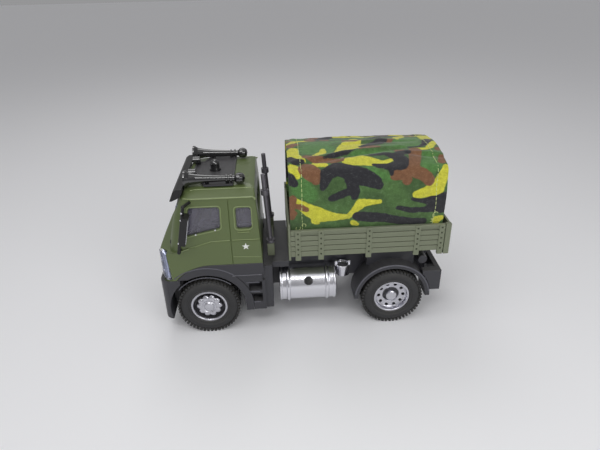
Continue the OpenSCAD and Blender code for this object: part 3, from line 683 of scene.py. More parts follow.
def rear_height(radius, turn):
    """Dish with ten holes and a round hub."""
    if radius > LIP[0][0]:
        return blend_heights(LIP, radius)
    nearest = round(turn * LOBES / (2 * math.pi)) * 2 * math.pi / LOBES
    away = math.hypot(radius * math.cos(turn - nearest) - 6.85, radius * math.sin(turn - nearest))
    hole = 1 - smooth_step(0.66, 0.84, away)
    rim_of_hole = 0.1 * (1 - smooth_step(0.9, 1.25, away))
    return blend_heights(rear_stops, radius) + rim_of_hole - 2.2 * hole


def rim(axle, side, height):
    name = f"{axle}_rim_{side}"
    hub, way = middle(name), 1 if side == "left" else -1
    face_y = way * (half_width - 0.3)
    radii = [k * 0.17 for k in range(1, int(bead_radius / 0.17))] + [bead_radius - 0.02]
    steps = 150
    mesh = bmesh.new()
    centre = mesh.verts.new((hub.x, face_y + way * height(0, 0), hub.z))
    rings = []
    for radius in radii:
        ring = []
        for k in range(steps):
            turn = 2 * math.pi * k / steps
            ring.append(mesh.verts.new((hub.x + radius * math.cos(turn), face_y + way * height(radius, turn),
                                        hub.z + radius * math.sin(turn))))
        rings.append(ring)
    for k in range(steps):
        mesh.faces.new((centre, rings[0][k], rings[0][(k + 1) % steps]))
    for inner, outer in zip(rings, rings[1:]):
        for k in range(steps):
            mesh.faces.new((inner[k], outer[k], outer[(k + 1) % steps], inner[(k + 1) % steps]))
    # the barrel behind the face, and its back, close the shape
    back_low, back_high = corners(name)
    back_y = back_low.y if way > 0 else back_high.y
    barrel = [mesh.verts.new((v.co.x, back_y, v.co.z)) for v in rings[-1]]
    for k in range(steps):
        mesh.faces.new((rings[-1][k], barrel[k], barrel[(k + 1) % steps], rings[-1][(k + 1) % steps]))
    mesh.faces.new(barrel)
    bmesh.ops.recalc_face_normals(mesh, faces=mesh.faces)
    # faces deep in the well and in the holes take the dark grey of painted shade
    for face in mesh.faces:
        spot = face.calc_center_median()
        deep = way * (spot.y - face_y)
        face.material_index = 1 if -3.3 > deep > -6 or (axle == "front" and -1.6 > deep > -6) else 0
    made = as_piece(name + "_face", mesh, f"{axle}_wheels", "silver_plating", rim_plating, well_painted_shade,
                    smooth=40)
    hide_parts(name)
    return made


for side, _ in SIDES:
    rim("front", side, front_height)
    rim("rear", side, rear_height)
print("rims: 4 with", LOBES, "lobes or holes each")

# %% [markdown]
# ## The cab's skin
#
# The cab is one die-cast shell. What makes it look like a cab is small: a seam where the door shuts, a
# gutter, beads round the windows, a crease. A seam is a groove, cut by a thin swept bar. A bead is the same
# swept bar left standing, in a paler olive that is painted highlight. So one sweep serves both, and it needs
# to know where the skin is: a ray shot sideways at the shell gives that.

# %% Sweep a bar along a path
def sweep(mesh, path, wide, thick, outward, closed=False, steps=10):
    """An elliptical bar along a path: wide across the surface, thick along the outward direction."""
    rings, count = [], len(path)
    for k, point in enumerate(path):
        before = path[k - 1] if k or closed else point
        after = path[(k + 1) % count] if k < count - 1 or closed else point
        tangent = (after - before).normalized()
        side = tangent.cross(outward).normalized()
        up = side.cross(tangent)
        turns = [2 * math.pi * j / steps for j in range(steps)]
        spots = [point + side * wide * math.cos(t) + up * thick * math.sin(t) for t in turns]
        rings.append([mesh.verts.new(spot) for spot in spots])
    faces = []
    for first, second in zip(rings, rings[1:] + (rings[:1] if closed else [])):
        for j in range(steps):
            following = (j + 1) % steps
            faces.append(mesh.faces.new((first[j], first[following], second[following], second[j])))
    if not closed:
        faces += [mesh.faces.new(rings[0]), mesh.faces.new(rings[-1][::-1])]
    bmesh.ops.recalc_face_normals(mesh, faces=faces)


def closed_outline(points, reach, steps=5):
    """A closed outline with rounded corners."""
    start = (Vector(points[0]) + Vector(points[-1])) / 2
    return rounded_profile([tuple(start)] + list(points) + [tuple(start)], reach, steps)[:-1]


def between(points, step):
    """Points along straight stretches, no further apart than a step."""
    made = []
    for a, b in zip(points, points[1:]):
        a, b = Vector(a), Vector(b)
        count = max(1, round((b - a).length / step))
        made += [a.lerp(b, k / count) for k in range(count)]
    return made + [Vector(points[-1])]


# %% Where the cab's skin is
def tree_of(node):
    """A search tree over one frame piece, in millimetres."""
    data = frame["nodes"][node].data
    faces = [tuple(p.vertices) for p in data.polygons]
    return BVHTree.FromPolygons([v.co / MM for v in data.vertices], faces)


cab_low, cab_high = corners("cab_shell")
cab_tree = tree_of("cab_shell")
gutter_z = cab_high.z - 4.1
belt_z = gutter_z - 23
cab_rear = cab_low.x
FAR = 90


def on_cab_side(x, z, side, lift=0.0, tree=cab_tree):
    """The point of the cab's side at a station and a height; side is LEFT or RIGHT."""
    hit = tree.ray_cast(Vector((x, 0, z)) + side * FAR, -side)[0]
    return (hit or Vector((x, side.y * half_width, z))) + side * lift


def on_cab_top(x, y, lift=0.0):
    hit = cab_tree.ray_cast(Vector((x, y, FAR + 20)), -UP)[0]
    return hit + UP * lift


def on_cab_front(y, z, lift=0.0):
    hit = cab_tree.ray_cast(Vector((FAR, y, z)), Vector((-1, 0, 0)))[0]
    return hit + Vector((lift, 0, 0))


belt_y = on_cab_side(cab_rear + 8, belt_z, LEFT).y
print("side of the cab at the belt, mm from the middle:", round(belt_y, 2))

# %% [markdown]
# The seams are cut with a boolean. The shell's edges are rounded first and the result kept,
# since a live bevel after the cut would try to round the narrow groove as well.

# %% Cut grooves into a softened piece
def keep_modifiers(piece):
    """Turns a piece with modifiers into a plain mesh."""
    for step in piece.modifiers:
        if step.type == "BEVEL":
            step.harden_normals = False
    bpy.context.view_layer.update()
    data = bpy.data.meshes.new_from_object(piece.evaluated_get(bpy.context.evaluated_depsgraph_get()))
    piece.modifiers.clear()
    piece.data = data
    data.shade_smooth()
    data.set_sharp_from_angle(angle=math.radians(35))


def carve(piece, cutters):
    """Takes a mesh of cutting bars, drawn in millimetres, out of a softened piece."""
    bars = item_object("cutting bars", cutters)
    keep_modifiers(piece)
    cut = piece.modifiers.new("grooves", "BOOLEAN")
    cut.object = bars
    cut.operation = "DIFFERENCE"
    cut.solver = "MANIFOLD"
    keep_modifiers(piece)
    bpy.data.objects.remove(bars)
    even = piece.modifiers.new("even shading", "WEIGHTED_NORMAL")
    even.keep_sharp = True
    return piece


SEAM = 0.19
door_x = front_hub.x - 15.1
panel_z = belt_z - 9.6
bars = bmesh.new()
for side in (LEFT, RIGHT):
    upright = [(door_x, z) for z in (cab_low.z + 7, belt_z, gutter_z - 1.4)]
    sweep(bars, [on_cab_side(x, z, side) for x, z in between(upright, 1.5)], SEAM, 0.34, side, steps=8)
for y in (-9.5, 9.5):
    roof_line = [on_cab_top(x, y) for x in (cab_rear + 5, cab_rear + 15, front_hub.x - 1, front_hub.x + 4)]
    sweep(bars, roof_line, SEAM, 0.3, UP, steps=8)
cab_shown = carve(bpy.data.objects["cab_shell_shown"], bars)
print("cab:", len(cab_shown.data.polygons), "faces with its seams")

# %% Beads, gutter and crease
door_window = [(front_hub.x + 4.4, gutter_z - 4.6), (front_hub.x - 10.7, gutter_z - 4.6),
               (front_hub.x - 10.3, belt_z + 7), (front_hub.x + 7.9, belt_z + 3.2)]
rear_window = [(cab_rear + 12.2, belt_z + 6.4), (cab_rear + 12.2, gutter_z - 5.4),
               (cab_rear + 4.6, gutter_z - 5.4), (cab_rear + 4.6, belt_z + 6.4)]


def grown_outline(points, by):
    """Moves the corners of an outline away from its middle."""
    centre = sum((Vector(p) for p in points), Vector((0, 0))) / len(points)
    return [(x + math.copysign(by, x - centre.x), y + math.copysign(by, y - centre.y)) for x, y in points]


def cab_beads(side):
    mesh = bmesh.new()
    for window in (door_window, rear_window):
        ring = closed_outline(grown_outline(window, 0.55), 1.9)
        sweep(mesh, [on_cab_side(x, z, side) for x, z in ring], 0.26, 0.24, side, closed=True)
    lines = [
        ([(cab_rear + 1.6, gutter_z), (front_hub.x + 6.5, gutter_z)], 0.4, 0.55),
        ([(cab_rear + 5.6, belt_z + 4.6), (cab_rear + 11.6, belt_z + 4.7)], 0.3, 0.7),
        ([(cab_rear + 5.7, belt_z + 5.7), (cab_rear + 11.6, belt_z + 5.8)], 0.3, 0.7),
        ([(door_x + 0.6, belt_z + 0.3), (door_x + 10, belt_z), (front_hub.x + 1.5, belt_z - 1.9),
          (front_hub.x + 11.5, belt_z - 4.8)], 0.28, 0.3),
        ([(cab_rear + 0.8, panel_z - 0.3), (door_x - 0.6, panel_z + 0.5)], 0.14, 0.1),
        ([(cab_rear + 0.8, belt_z + 0.25), (door_x - 0.6, belt_z + 0.35)], 0.26, 0.3),
    ]
    for line, wide, thick in lines:
        sweep(mesh, [on_cab_side(x, z, side) for x, z in between(line, 1.5)], wide, thick, side)
    shoulder_y = side.y * (half_width - 6.9)
    roof_edge = [on_cab_top(cab_rear + k, shoulder_y) for k in (3.5, 10, 17, 24, 30, 33.5)]
    sweep(mesh, roof_edge, 0.3, 0.22, (UP + side * 0.5).normalized())
    return mesh


clip_spots = {}
for name, side in SIDES:
    # the beads take the paler olive of painted highlight
    as_piece(f"cab_beads_{name}", cab_beads(side), "truck", "cab_paint", cab_painted_highlight, smooth=50)

for name, side in SIDES:
    spots = [tuple(on_cab_side(x, z, side, 0.1)) for x, z in ((front_hub.x + 2.1, belt_z + 4.3),
                                                             (door_x + 7.2, belt_z + 6.9))]
    clip_spots[name] = spots

foot_y, foot_z = 24.9, cab_high.z - 29.5
head_y, head_z = half_width - 6.4, gutter_z - 2.5
frame_line = closed_outline([(-foot_y, foot_z), (foot_y, foot_z), (head_y, head_z), (-head_y, head_z)], 2.4)
screen_bead = bmesh.new()
sweep(screen_bead, [on_cab_front(y, z) for y, z in frame_line], 0.4, 0.3, Vector((1, 0, 0.3)), closed=True)
as_piece("windscreen_bead", screen_bead, "truck", "black_plastic", smooth=50)
print("beads and gutters on both sides")

# %% Stars on the doors
def star_mesh(centre, radius, side):
    """A plain five-pointed star, a thin print on the cab's side."""
    mesh = bmesh.new()
    corners_used = []
    for k in range(10):
        turn = math.pi / 2 + k * math.pi / 5
        r = radius * (1.0 if k % 2 == 0 else 0.42)
        corners_used.append((centre[0] + side.y * -r * math.cos(turn), centre[1] + r * math.sin(turn)))
    outer = [mesh.verts.new(on_cab_side(x, z, side, 0.05)) for x, z in corners_used]
    inner = [mesh.verts.new(on_cab_side(x, z, side, -0.05)) for x, z in corners_used]
    middle_out = mesh.verts.new(on_cab_side(*centre, side, 0.05))
    middle_in = mesh.verts.new(on_cab_side(*centre, side, -0.05))
    for k in range(10):
        j = (k + 1) % 10
        mesh.faces.new((middle_out, outer[k], outer[j]))
        mesh.faces.new((middle_in, inner[j], inner[k]))
        mesh.faces.new((outer[k], inner[k], inner[j], outer[j]))
    bmesh.ops.recalc_face_normals(mesh, faces=mesh.faces)
    return mesh


star_at = (cab_rear + 8.0, belt_z - 3.4)
for name, side in SIDES:
    as_piece(f"door_star_{name}", star_mesh(star_at, 2.0, side), "truck", "cab_paint", white_print)
print("stars at", [round(v, 1) for v in star_at])

# %% [markdown]
# Two wipers rest on the foot of the windscreen, and the mirrors are held by small bright screws. A screw
# repeats, so it is one little turned head that a Geometry Nodes tree copies to every point of a list.

# %% Geometry Nodes: copies on points
def make_scatter_tree():
    tree, values = new_tree("copies on points", "Geometry",
                            [("Geometry", "Geometry"), ("Item", "Object"), ("Material", "Material")],
                            [("Geometry", "Geometry")])
    item = add(tree, "GeometryNodeObjectInfo", {"Object": values["Item"]}).outputs["Geometry"]
    way = add(tree, "GeometryNodeInputNamedAttribute", {"Name": "way"}, data_type="FLOAT_VECTOR").outputs[0]
    turned = add(tree, "FunctionNodeAlignRotationToVector", {"Vector": way}, axis="X").outputs[0]
    return end_with_copies(tree, values,
                           {"Points": values["Geometry"], "Instance": item, "Rotation": turned})


scatter_tree = make_scatter_tree()


def scatter(name, item_mesh, spots, material, slot, ways=None, smooth=40):
    """Copies a small shape, drawn in millimetres round the origin, to each spot of a list.

    With ways, one direction for each spot, the shape's +X is turned to point that way.
    """
    item = item_object(name + "_item", item_mesh)
    points = bpy.data.meshes.new(name)
    points.from_pydata([Vector(s) * MM for s in spots], [], [])
    if ways:
        layer = points.attributes.new("way", "FLOAT_VECTOR", "POINT")
        for index, direction in enumerate(ways):
            layer.data[index].vector = direction
    grown = grow(scatter_tree, points, Item=item, Material=material)
    bpy.data.objects.remove(item)
    return as_piece(name, from_mesh(grown), "truck", slot, material, smooth=smooth)


def dome(radius, height, way, steps=12):
    """A rivet's head, or a screw's, that stands up along a direction from just below the surface."""
    mesh = bmesh.new()
    profile = [(0, -0.2), (radius, -0.2), (radius, height * 0.2), (radius * 0.8, height * 0.75), (0, height)]
    lathe(mesh, profile, (0, 0, 0), axis=way, steps=steps)
    return mesh


arm_low = Vector((front_hub.x + 10.9, half_width + 3, belt_z - 3.4))
arm_high = Vector((front_hub.x + 5.8, half_width + 3, gutter_z - 1.4))
for name, side in SIDES:
    outward = (side + Vector((0.6, 0, 0))).normalized()
    spots, flip = [], Vector((1, side.y, 1))
    for share in (0.22, 0.73, 0.88):
        spots.append((arm_low.lerp(arm_high, share) * flip) + outward * 0.78)
    scatter(f"mirror_screws_{name}", dome(0.55, 0.3, (1, 0, 0)), spots, silver_plating, "silver_plating",
            [outward] * len(spots))
    scatter(f"window_clips_{name}", dome(0.5, 0.32, (0, side.y, 0)), clip_spots[name], silver_plating,
            "silver_plating")
    glass = chamfered_block((0.3, 5.3, 13.2), 0.08)
    lean = Matrix.Rotation(-math.atan2(arm_low.x - arm_high.x, arm_high.z - arm_low.z), 3, "Y")
    bmesh.ops.translate(glass, vec=(-3.08, 0.85, 0), verts=glass.verts)
    bmesh.ops.rotate(glass, matrix=lean, verts=glass.verts)
    bmesh.ops.translate(glass, vec=(arm_low + arm_high) / 2 + Vector((-0.4, 0, 1)), verts=glass.verts)
    bmesh.ops.scale(glass, vec=flip, verts=glass.verts)
    if side.y < 0:
        bmesh.ops.reverse_faces(glass, faces=glass.faces)
    as_piece(f"mirror_glass_{name}", glass, "truck", "silver_plating", mirror_silver)
print("screws on a mirror:", len(spots))


# %% Wipers
def wiper(from_y, to_y):
    mesh = bmesh.new()
    foot = on_cab_front(from_y, cab_high.z - 31.0, 0.5)
    tip = on_cab_front(to_y, cab_high.z - 27.2, 0.7)
    outward, elbow = Vector((1, 0, 0.4)), foot.lerp(tip, 0.5) + Vector((0.35, 0, 0))
    sweep(mesh, [foot, elbow, tip], 0.28, 0.28, outward, steps=8)
    across = Vector((0, math.copysign(1, tip.y - foot.y), 0))
    blade = [on_cab_front(p.y, p.z, 0.35) for p in between([tip - across * 8.5, tip + across * 2.5], 2)]
    sweep(mesh, blade, 0.22, 0.45, outward, steps=8)
    return mesh


for number, (from_y, to_y) in enumerate(((-4, 9), (-20, -8))):
    as_piece(f"wiper_{number + 1}", wiper(from_y, to_y), "truck", "black_plastic", smooth=50)
print("wipers and screws are on")

# %% [markdown]
# ## Tanks in bright plating
#
# The side tanks are the brightest thing on the lorry. Each is turned: a drum with a rounded ring near both
# ends and a round socket high on its face. The socket is a boolean cut, since it crosses the curved drum.

# %% Fuel tanks
SOCKET_RISE = math.radians(32)


def fuel_tank(side_name, way):
    low, high = corners(f"fuel_tank_{side_name}")
    radius = (high.z - low.z) / 2 - 0.3
    hub_y = way * (half_width - radius)
    hub_z = (low.z + high.z) / 2
    end = [(0, 0.6), (radius - 2.6, 0.6), (radius - 2.2, 0.1), (radius - 0.7, 0.0), (radius - 0.1, 0.35),
           (radius - 0.05, 1.1), (radius - 0.6, 1.6)]
    length = high.x - low.x
    profile = list(end)
    for at in (4.9, length - 4.9):
        profile += [(radius - 0.6, at - 1.1), (radius + 0.3, at - 0.6), (radius + 0.3, at + 0.6),
                    (radius - 0.6, at + 1.1)]
    profile += [(r, length - along) for r, along in reversed(end)]
    mesh = bmesh.new()
    lathe(mesh, rounded_profile(profile, 0.3, 3), (low.x, hub_y, hub_z), axis=(1, 0, 0), steps=110)
    tank = as_piece(f"fuel_tank_{side_name}_drum", mesh, "truck", "silver_plating", smooth=30)
    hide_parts(f"fuel_tank_{side_name}")
    socket = bmesh.new()
    out = Vector((0, way * math.cos(SOCKET_RISE), math.sin(SOCKET_RISE)))
    socket_at = Vector(((low.x + high.x) / 2 - 0.4, hub_y, hub_z)) + out * (radius - 0.6)
    lathe(socket, [(0, -2.2), (2.2, -2.2), (2.4, 0), (2.9, 1.5), (0, 1.5)], socket_at, axis=out, steps=40)
    carve(tank, socket)
    plug = bmesh.new()
    lathe(plug, [(0, -2.4), (2.5, -2.4), (2.5, -1.3), (1.1, -1.2), (0.9, -0.7), (0, -0.7)], socket_at,
          axis=out, steps=40)
    as_piece(f"fuel_tank_{side_name}_socket", plug, "truck", "gloss_black")


for side_name, way in (("left", 1), ("right", -1)):
    fuel_tank(side_name, way)
print("tanks are turned")


# %% Air cups beside the tanks
def air_cup(side_name, way):
    low, high = corners(f"air_cup_{side_name}")
    hub = Vector(((low.x + high.x) / 2, 0, low.z))
    hub.y = way * (max(abs(low.y), abs(high.y)) - 3.9)
    tall = high.z - low.z - 2.0
    mesh = bmesh.new()
    lathe(mesh, rounded_profile([(0, 0), (2.6, 0), (3.0, 0.5), (3.9, tall - 0.5), (3.9, tall), (3.3, tall),
                                 (3.1, tall - 1.2), (0, tall - 1.2)], 0.3, 3), hub, axis=(0, 0, 1), steps=60)
    for end in (-1, 1):
        block_at(mesh, hub + Vector((end * 3.5, 0, tall + 0.4)), (1.5, 2.2, 3.2), 0.25)
    block_at(mesh, hub + Vector((0, -way * 2.3, 3.5)), (2.8, 4.6, 3.0))
    made = as_piece(f"air_cup_{side_name}_turned", mesh, "truck", "silver_plating", smooth=30)
    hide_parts(f"air_cup_{side_name}")


for side_name, way in (("left", 1), ("right", -1)):
    air_cup(side_name, way)
print("cups are turned")

# %% [markdown]
# ## Trim on the dark mouldings
#
# The wheel arches carry a thin rounded lip, and the skirt behind the front wheel a ridge. They are bars
# swept along the arch's own circle, laid on the moulding by the same sideways ray as before. Lips, ridge
# and step treads are a paler grey than the moulding, a painted highlight.

# %% Lips of the arches
def arch_path(hub, radius, first, last, steps=40):
    turns = [math.radians(first + (last - first) * k / steps) for k in range(steps + 1)]
    return [(hub.x + radius * math.cos(t), hub.z + radius * math.sin(t)) for t in turns]


def arch_trim(axle, name, side, lines):
    """Bars along lines on one arch, shown as one piece of trim in the paler grey of painted highlight."""
    mesh, tree = bmesh.new(), tree_of(f"{axle}_arch_{name}")
    for line, wide, thick in lines:
        sweep(mesh, [on_cab_side(x, z, side, tree=tree) for x, z in line], wide, thick, side, steps=8)
    as_piece(f"{axle}_arch_trim_{name}", mesh, "truck", "black_plastic", black_painted_highlight, smooth=50)


for name, side in SIDES:
    front_high = corners(f"front_arch_{name}")[1]
    rear_low, rear_high = corners(f"rear_arch_{name}")
    inner_radius = tyre_radius + 2.4
    front_arc = arch_path(front_hub, inner_radius, 40, 132)
    outer_arc = arch_path(front_hub, front_high.z - front_hub.z - 1.6, 50, 128)
    ridge_z = cab_low.z + 1.4
    ridge = [(front_hub.x - 14.2, ridge_z), (cab_rear + 0.9, ridge_z)]
    trims = [(front_arc, 0.28, 0.3), (outer_arc, 0.3, 0.26), (between(ridge, 2), 0.34, 0.4)]
    arch_trim("front", name, side, trims)
    treads = bmesh.new()
    for z, start in ((31.2, 30.6), (25.4, 30.6), (18.6, 31.5)):
        line = [Vector((x, side.y * (half_width - 0.25), z)) for x in (cab_rear + 2.4, start)]
        sweep(treads, line, 0.35, 0.3, side, steps=8)
    # step treads in the paler grey of painted highlight
    as_piece(f"step_treads_{name}", treads, "truck", "black_plastic", black_painted_highlight)
    rear_arc = arch_path(rear_hub, (rear_high.x - rear_low.x) / 2 - 0.5, 8, 172, 60)
    arch_trim("rear", name, side, [(rear_arc, 0.42, 0.35)])
print("arches have their lips")

# %% Lamps with a reflector behind the lens
def headlamp_reflector(node):
    """A shrunken copy of the lens block, set back inside it."""
    mesh = frame_copy(node)
    hub = middle(node)
    bmesh.ops.translate(mesh, vec=-hub, verts=mesh.verts)
    bmesh.ops.scale(mesh, vec=(0.6, 0.84, 0.88), verts=mesh.verts)
    bmesh.ops.translate(mesh, vec=hub + Vector((-0.5, 0, 0)), verts=mesh.verts)
    return mesh


def headlamp_bowls(node, face):
    """Two turned bowls, one above the other, each with a bulb in its middle, on a flat at x = face."""
    low, high = corners(node)
    hub = middle(node)
    mesh = bmesh.new()
    for rise, radius in ((-0.25, 2.9), (0.08, 2.4)):
        bowl = [(0, 0.5), (0.6, 0.4), (0.8, 0), (0.85, -0.9), (radius - 0.9, -0.5), (radius - 0.35, 0.25),
                (radius, 0.25), (radius, -1.6), (0, -1.6)]
        seat = (face, hub.y * 0.985, hub.z + rise * (high.z - low.z))
        lathe(mesh, bowl, seat, axis=(1, 0, 0), steps=48)
    return mesh


for name in ("left", "right"):
    node = f"headlight_{name}"
    reflector = headlamp_reflector(node)
    face = max(v.co.x for v in reflector.verts)
    as_piece(f"{node}_reflector", reflector, "truck", "silver_plating", lamp_silver)
    as_piece(f"{node}_bowls", headlamp_bowls(node, face + 0.1), "truck", "silver_plating", silver_plating)
    soften(node, 0.35, 3)
print("headlamps: a clear lens over a bright reflector with two bowls")

# %% [markdown]
# ## The cargo bed
#
# Each board is moulded to look like five planks with a shadow line between them, behind upright posts with
# a rivet to each plank. The lines are shallow grooves, cut right along both faces; the posts stand
# proud of the planks, so the grooves stop at them without any care taken. A thin dark bar at the bottom of
# each groove and beside each post, and the dark rivets, are painted shadow.

# %% Planks, posts and rivets
board_low, board_high = corners("side_board_left")
board_low.z += 2.2
PLANKS = 5
plank_height = (board_high.z - board_low.z) / PLANKS
LINE = 0.42


def groove_bars(mesh, start, end, levels, faces, across):
    """V-shaped cutters along a wall: one at each level, on each given face of it."""
    run = Vector(end) - Vector(start)
    along = run.normalized()
    for z in levels:
        for face in faces:
            origin = Vector(start) - along * 2 + Vector(across) * face
            path = [origin, origin + run + along * 4]
            sweep(mesh, [Vector((p.x, p.y, z)) for p in path], LINE, LINE * 1.1, Vector(across), steps=4)


def shadow_lines(mesh, start, end, levels, face, across):
    """Thin dark bars, painted shadow, at the bottom of the grooves on one face."""
    for z in levels:
        path = [Vector((p[0], p[1], z)) + Vector(across) * face for p in (start, end)]
        sweep(mesh, path, 0.2, 0.1, Vector(across), steps=4)


def rivet_columns(stations, y):
    """Rivets down the face of each post, one to a plank."""
    return [(x, y, board_low.z + plank_height * (k + 0.5)) for x in stations for k in range(PLANKS)]


levels = [board_low.z + plank_height * k for k in range(1, PLANKS)]
post_stations = [2.5, -9.3, -34.1, -59.2, -71.7]
bed_rear = corners("tailgate")[0].x
for side_name, way in (("left", 1), ("right", -1)):
    low, high = corners(f"side_board_{side_name}")
    inner = min(abs(low.y), abs(high.y))
    bars = bmesh.new()
    groove_bars(bars, (low.x, 0, 0), (high.x, 0, 0), levels, (way * half_width, way * inner), (0, 1, 0))
    carve(bpy.data.objects[f"side_board_{side_name}_shown"], bars)
    shadows = bmesh.new()
    shadow_lines(shadows, (low.x + 0.2, 0, 0), (high.x - 0.2, 0, 0), levels, way * (half_width - 0.27),
                 (0, 1, 0))
    # dark bars beside each post: painted shadow where the post stands out from the planks
    for x in post_stations:
        for edge in (-1.5, 1.5):
            path = [Vector((x + edge, way * half_width, z)) for z in (board_low.z + 0.3, board_high.z - 0.3)]
            sweep(shadows, path, 0.1, 0.08, LEFT, steps=4)
    as_piece(f"plank_shadows_{side_name}", shadows, "truck", "olive_plastic", shadow_olive)
    # rivets in the painted-shadow olive, so they show as dark dots
    spots = rivet_columns(post_stations, max(abs(low.y), abs(high.y)) * way)
    scatter(f"board_rivets_{side_name}", dome(0.5, 0.36, (0, way, 0), steps=10), spots, shadow_olive,
            "olive_plastic")

for node, outer in (("tailgate", -1), ("headboard", 1)):
    low, high = corners(node)
    thick = 1.8
    faces = (low.x, low.x + thick) if outer < 0 else (low.x, high.x)
    bars = bmesh.new()
    groove_bars(bars, (0, -half_width + 2.4, 0), (0, half_width - 2.4, 0), levels, faces, (1, 0, 0))
    carve(bpy.data.objects[f"{node}_shown"], bars)
    shadows = bmesh.new()
    face = faces[0] + 0.27 if outer < 0 else faces[1] - 0.27
    shadow_lines(shadows, (0, 2.6 - half_width, 0), (0, half_width - 2.6, 0), levels, face, (1, 0, 0))
    as_piece(f"plank_shadows_{node}", shadows, "truck", "olive_plastic", shadow_olive)
print("planks:", PLANKS, "each", round(plank_height, 2), "mm high")

# %% [markdown]
# The tailgate hangs on three strap hinges and is shut by a latch at each end. They are moulded in one with
# it on the toy, so they are small fixed shapes here too.

# %% Tailgate straps and latches
straps = bmesh.new()
for y in (-18, 0, 18):
    block_at(straps, (bed_rear + 0.1, y, board_low.z + 4.8), (0.7, 2.2, 10.2))
    pin = [(0, -1.5), (0.7, -1.5), (0.7, 1.5), (0, 1.5)]
    lathe(straps, pin, (bed_rear + 0.3, y, board_low.z - 0.3), steps=20)
for y in (-25.5, 25.5):
    block_at(straps, (bed_rear + 0.1, y, board_high.z - 3.4), (0.8, 2.6, 1.6))
as_piece("tailgate_straps", straps, "truck", "olive_plastic")
strap_rivets = [(bed_rear - 0.24, y, board_low.z + z) for y in (-18, 0, 18) for z in (1.5, 4.5, 7.6)]
scatter("strap_rivets", dome(0.45, 0.3, (-1, 0, 0), steps=10), strap_rivets, olive_plastic, "olive_plastic")

# %% Load floor planks
deck_low, deck_high = corners("bed_deck")
floor_bars = bmesh.new()
for k in range(-5, 6):
    y = k * 4.1
    path = [Vector((deck_low.x + 3, y, deck_high.z)), Vector((deck_high.x - 3, y, deck_high.z))]
    sweep(floor_bars, path, LINE, LINE, UP, steps=4)
carve(bpy.data.objects["bed_deck_shown"], floor_bars)
print("bed: planks, rivets, straps and latches")

# %% [markdown]
# ## The tilt cover
#
# The cover is a hemmed cotton sheet. It lies over four hoops and its long edges are tucked down inside the
# boards. It could be one bent surface, but cloth that is only bent looks like tin, so it is draped
# instead: a sheet a little larger than the hoops need starts just above them, and falls for a second under
# its own weight. Blender's cloth works best near the size of real furniture, so the drape is done twenty
# times larger.

# %% The sheet before it falls
cover_low, cover_high = corners("canopy_cover")
hoops_high = corners("canopy_frame")[1]
boards_top = corners("side_board_left")[1].z
CLOTH = 0.32
clear_of_hoops = 0.7
shoulder, crown = 3.4, 4.8
side_y = hoops_high.y + clear_of_hoops
crown_z = hoops_high.z + clear_of_hoops
tuck = boards_top - cover_low.z

def cover_outline():
    """The cover's outline as (y, z): tucked edge, side, shoulder, crown and down again."""
    left = [(side_y, cover_low.z), (side_y - 0.4, crown_z - crown), (side_y * 0.55, crown_z - crown * 0.3)]
    right = [(-y, z) for y, z in reversed(left)]
    return [Vector(p) for p in rounded_profile(left + [(0, crown_z)] + right, shoulder, 8)]


def walk(line, count):
    """Points at even steps along a line."""
    lengths = [0.0]
    for a, b in zip(line, line[1:]):
        lengths.append(lengths[-1] + (b - a).length)
    points, at = [], 0
    for k in range(count):
        want = lengths[-1] * k / (count - 1)
        while at < len(line) - 2 and lengths[at + 1] < want:
            at += 1
        share = (want - lengths[at]) / (lengths[at + 1] - lengths[at])
        points.append(line[at].lerp(line[at + 1], share))
    return points, lengths[-1]


ACROSS, ALONG = 79, 51
section, cloth_length = walk(cover_outline(), ACROSS)
cloth_width = cover_high.x - cover_low.x
stations = [cover_low.x + cloth_width * k / (ALONG - 1) for k in range(ALONG)]
sheet_points = [[Vector((x, p.x, p.y)) for p in section] for x in stations]
print("sheet in mm:", round(cloth_width, 1), "by", round(cloth_length, 1))


# %% Let it fall on the hoops
DRAPE_SCALE = 20


def grid_faces(rows, columns):
    return [(r * columns + c, r * columns + c + 1, (r + 1) * columns + c + 1, (r + 1) * columns + c)
            for r in range(rows - 1) for c in range(columns - 1)]


def drape(points, hoops, seams, frames=26):
    """Drapes a grid of points over a frame piece and gives back the points where they come to rest."""
    grow_by = DRAPE_SCALE * MM
    data = bpy.data.meshes.new("falling sheet")
    flat = [p for row in points for p in row]
    data.from_pydata([p * grow_by for p in flat], [], grid_faces(len(points), len(points[0])))
    sheet = link("falling sheet", data)
    held = sheet.vertex_groups.new(name="held")
    for index, p in enumerate(flat):
        if p.z < boards_top - 1.5:
            held.add([index], 1.0, "REPLACE")
        elif min(abs(p.x - seam) for seam in seams) < 1.0:
            held.add([index], 0.12, "REPLACE")
    under = link("hoops below", frame["nodes"][hoops].data.copy())
    under.data.transform(Matrix.Scale(DRAPE_SCALE, 4))
    under.modifiers.new("collide", "COLLISION")
    under.collision.thickness_outer = 0.2 * grow_by
    under.collision.cloth_friction = 12
    cloth = sheet.modifiers.new("cloth", "CLOTH")
    cloth.settings.vertex_group_mass = "held"
    cloth.settings.quality = 8
    cloth.settings.mass = 0.15
    cloth.settings.tension_stiffness = cloth.settings.compression_stiffness = 25
    cloth.settings.shear_stiffness = 12
    cloth.settings.bending_stiffness = 10
    cloth.settings.air_damping = 2
    cloth.settings.effector_weights.gravity = 0.3
    cloth.settings.use_pressure = True
    cloth.settings.uniform_pressure_force = 0.6
    cloth.collision_settings.distance_min = 0.3 * grow_by
    cloth.collision_settings.collision_quality = 3
    cloth.point_cache.frame_start, cloth.point_cache.frame_end = 1, frames
    for frame_number in range(1, frames + 1):
        bpy.context.scene.frame_set(frame_number)
    rested = bpy.data.meshes.new_from_object(sheet.evaluated_get(bpy.context.evaluated_depsgraph_get()))
    settled = [v.co / grow_by for v in rested.vertices]
    bpy.context.scene.frame_set(1)
    for gone in (sheet, under):
        bpy.data.objects.remove(gone)
    return settled


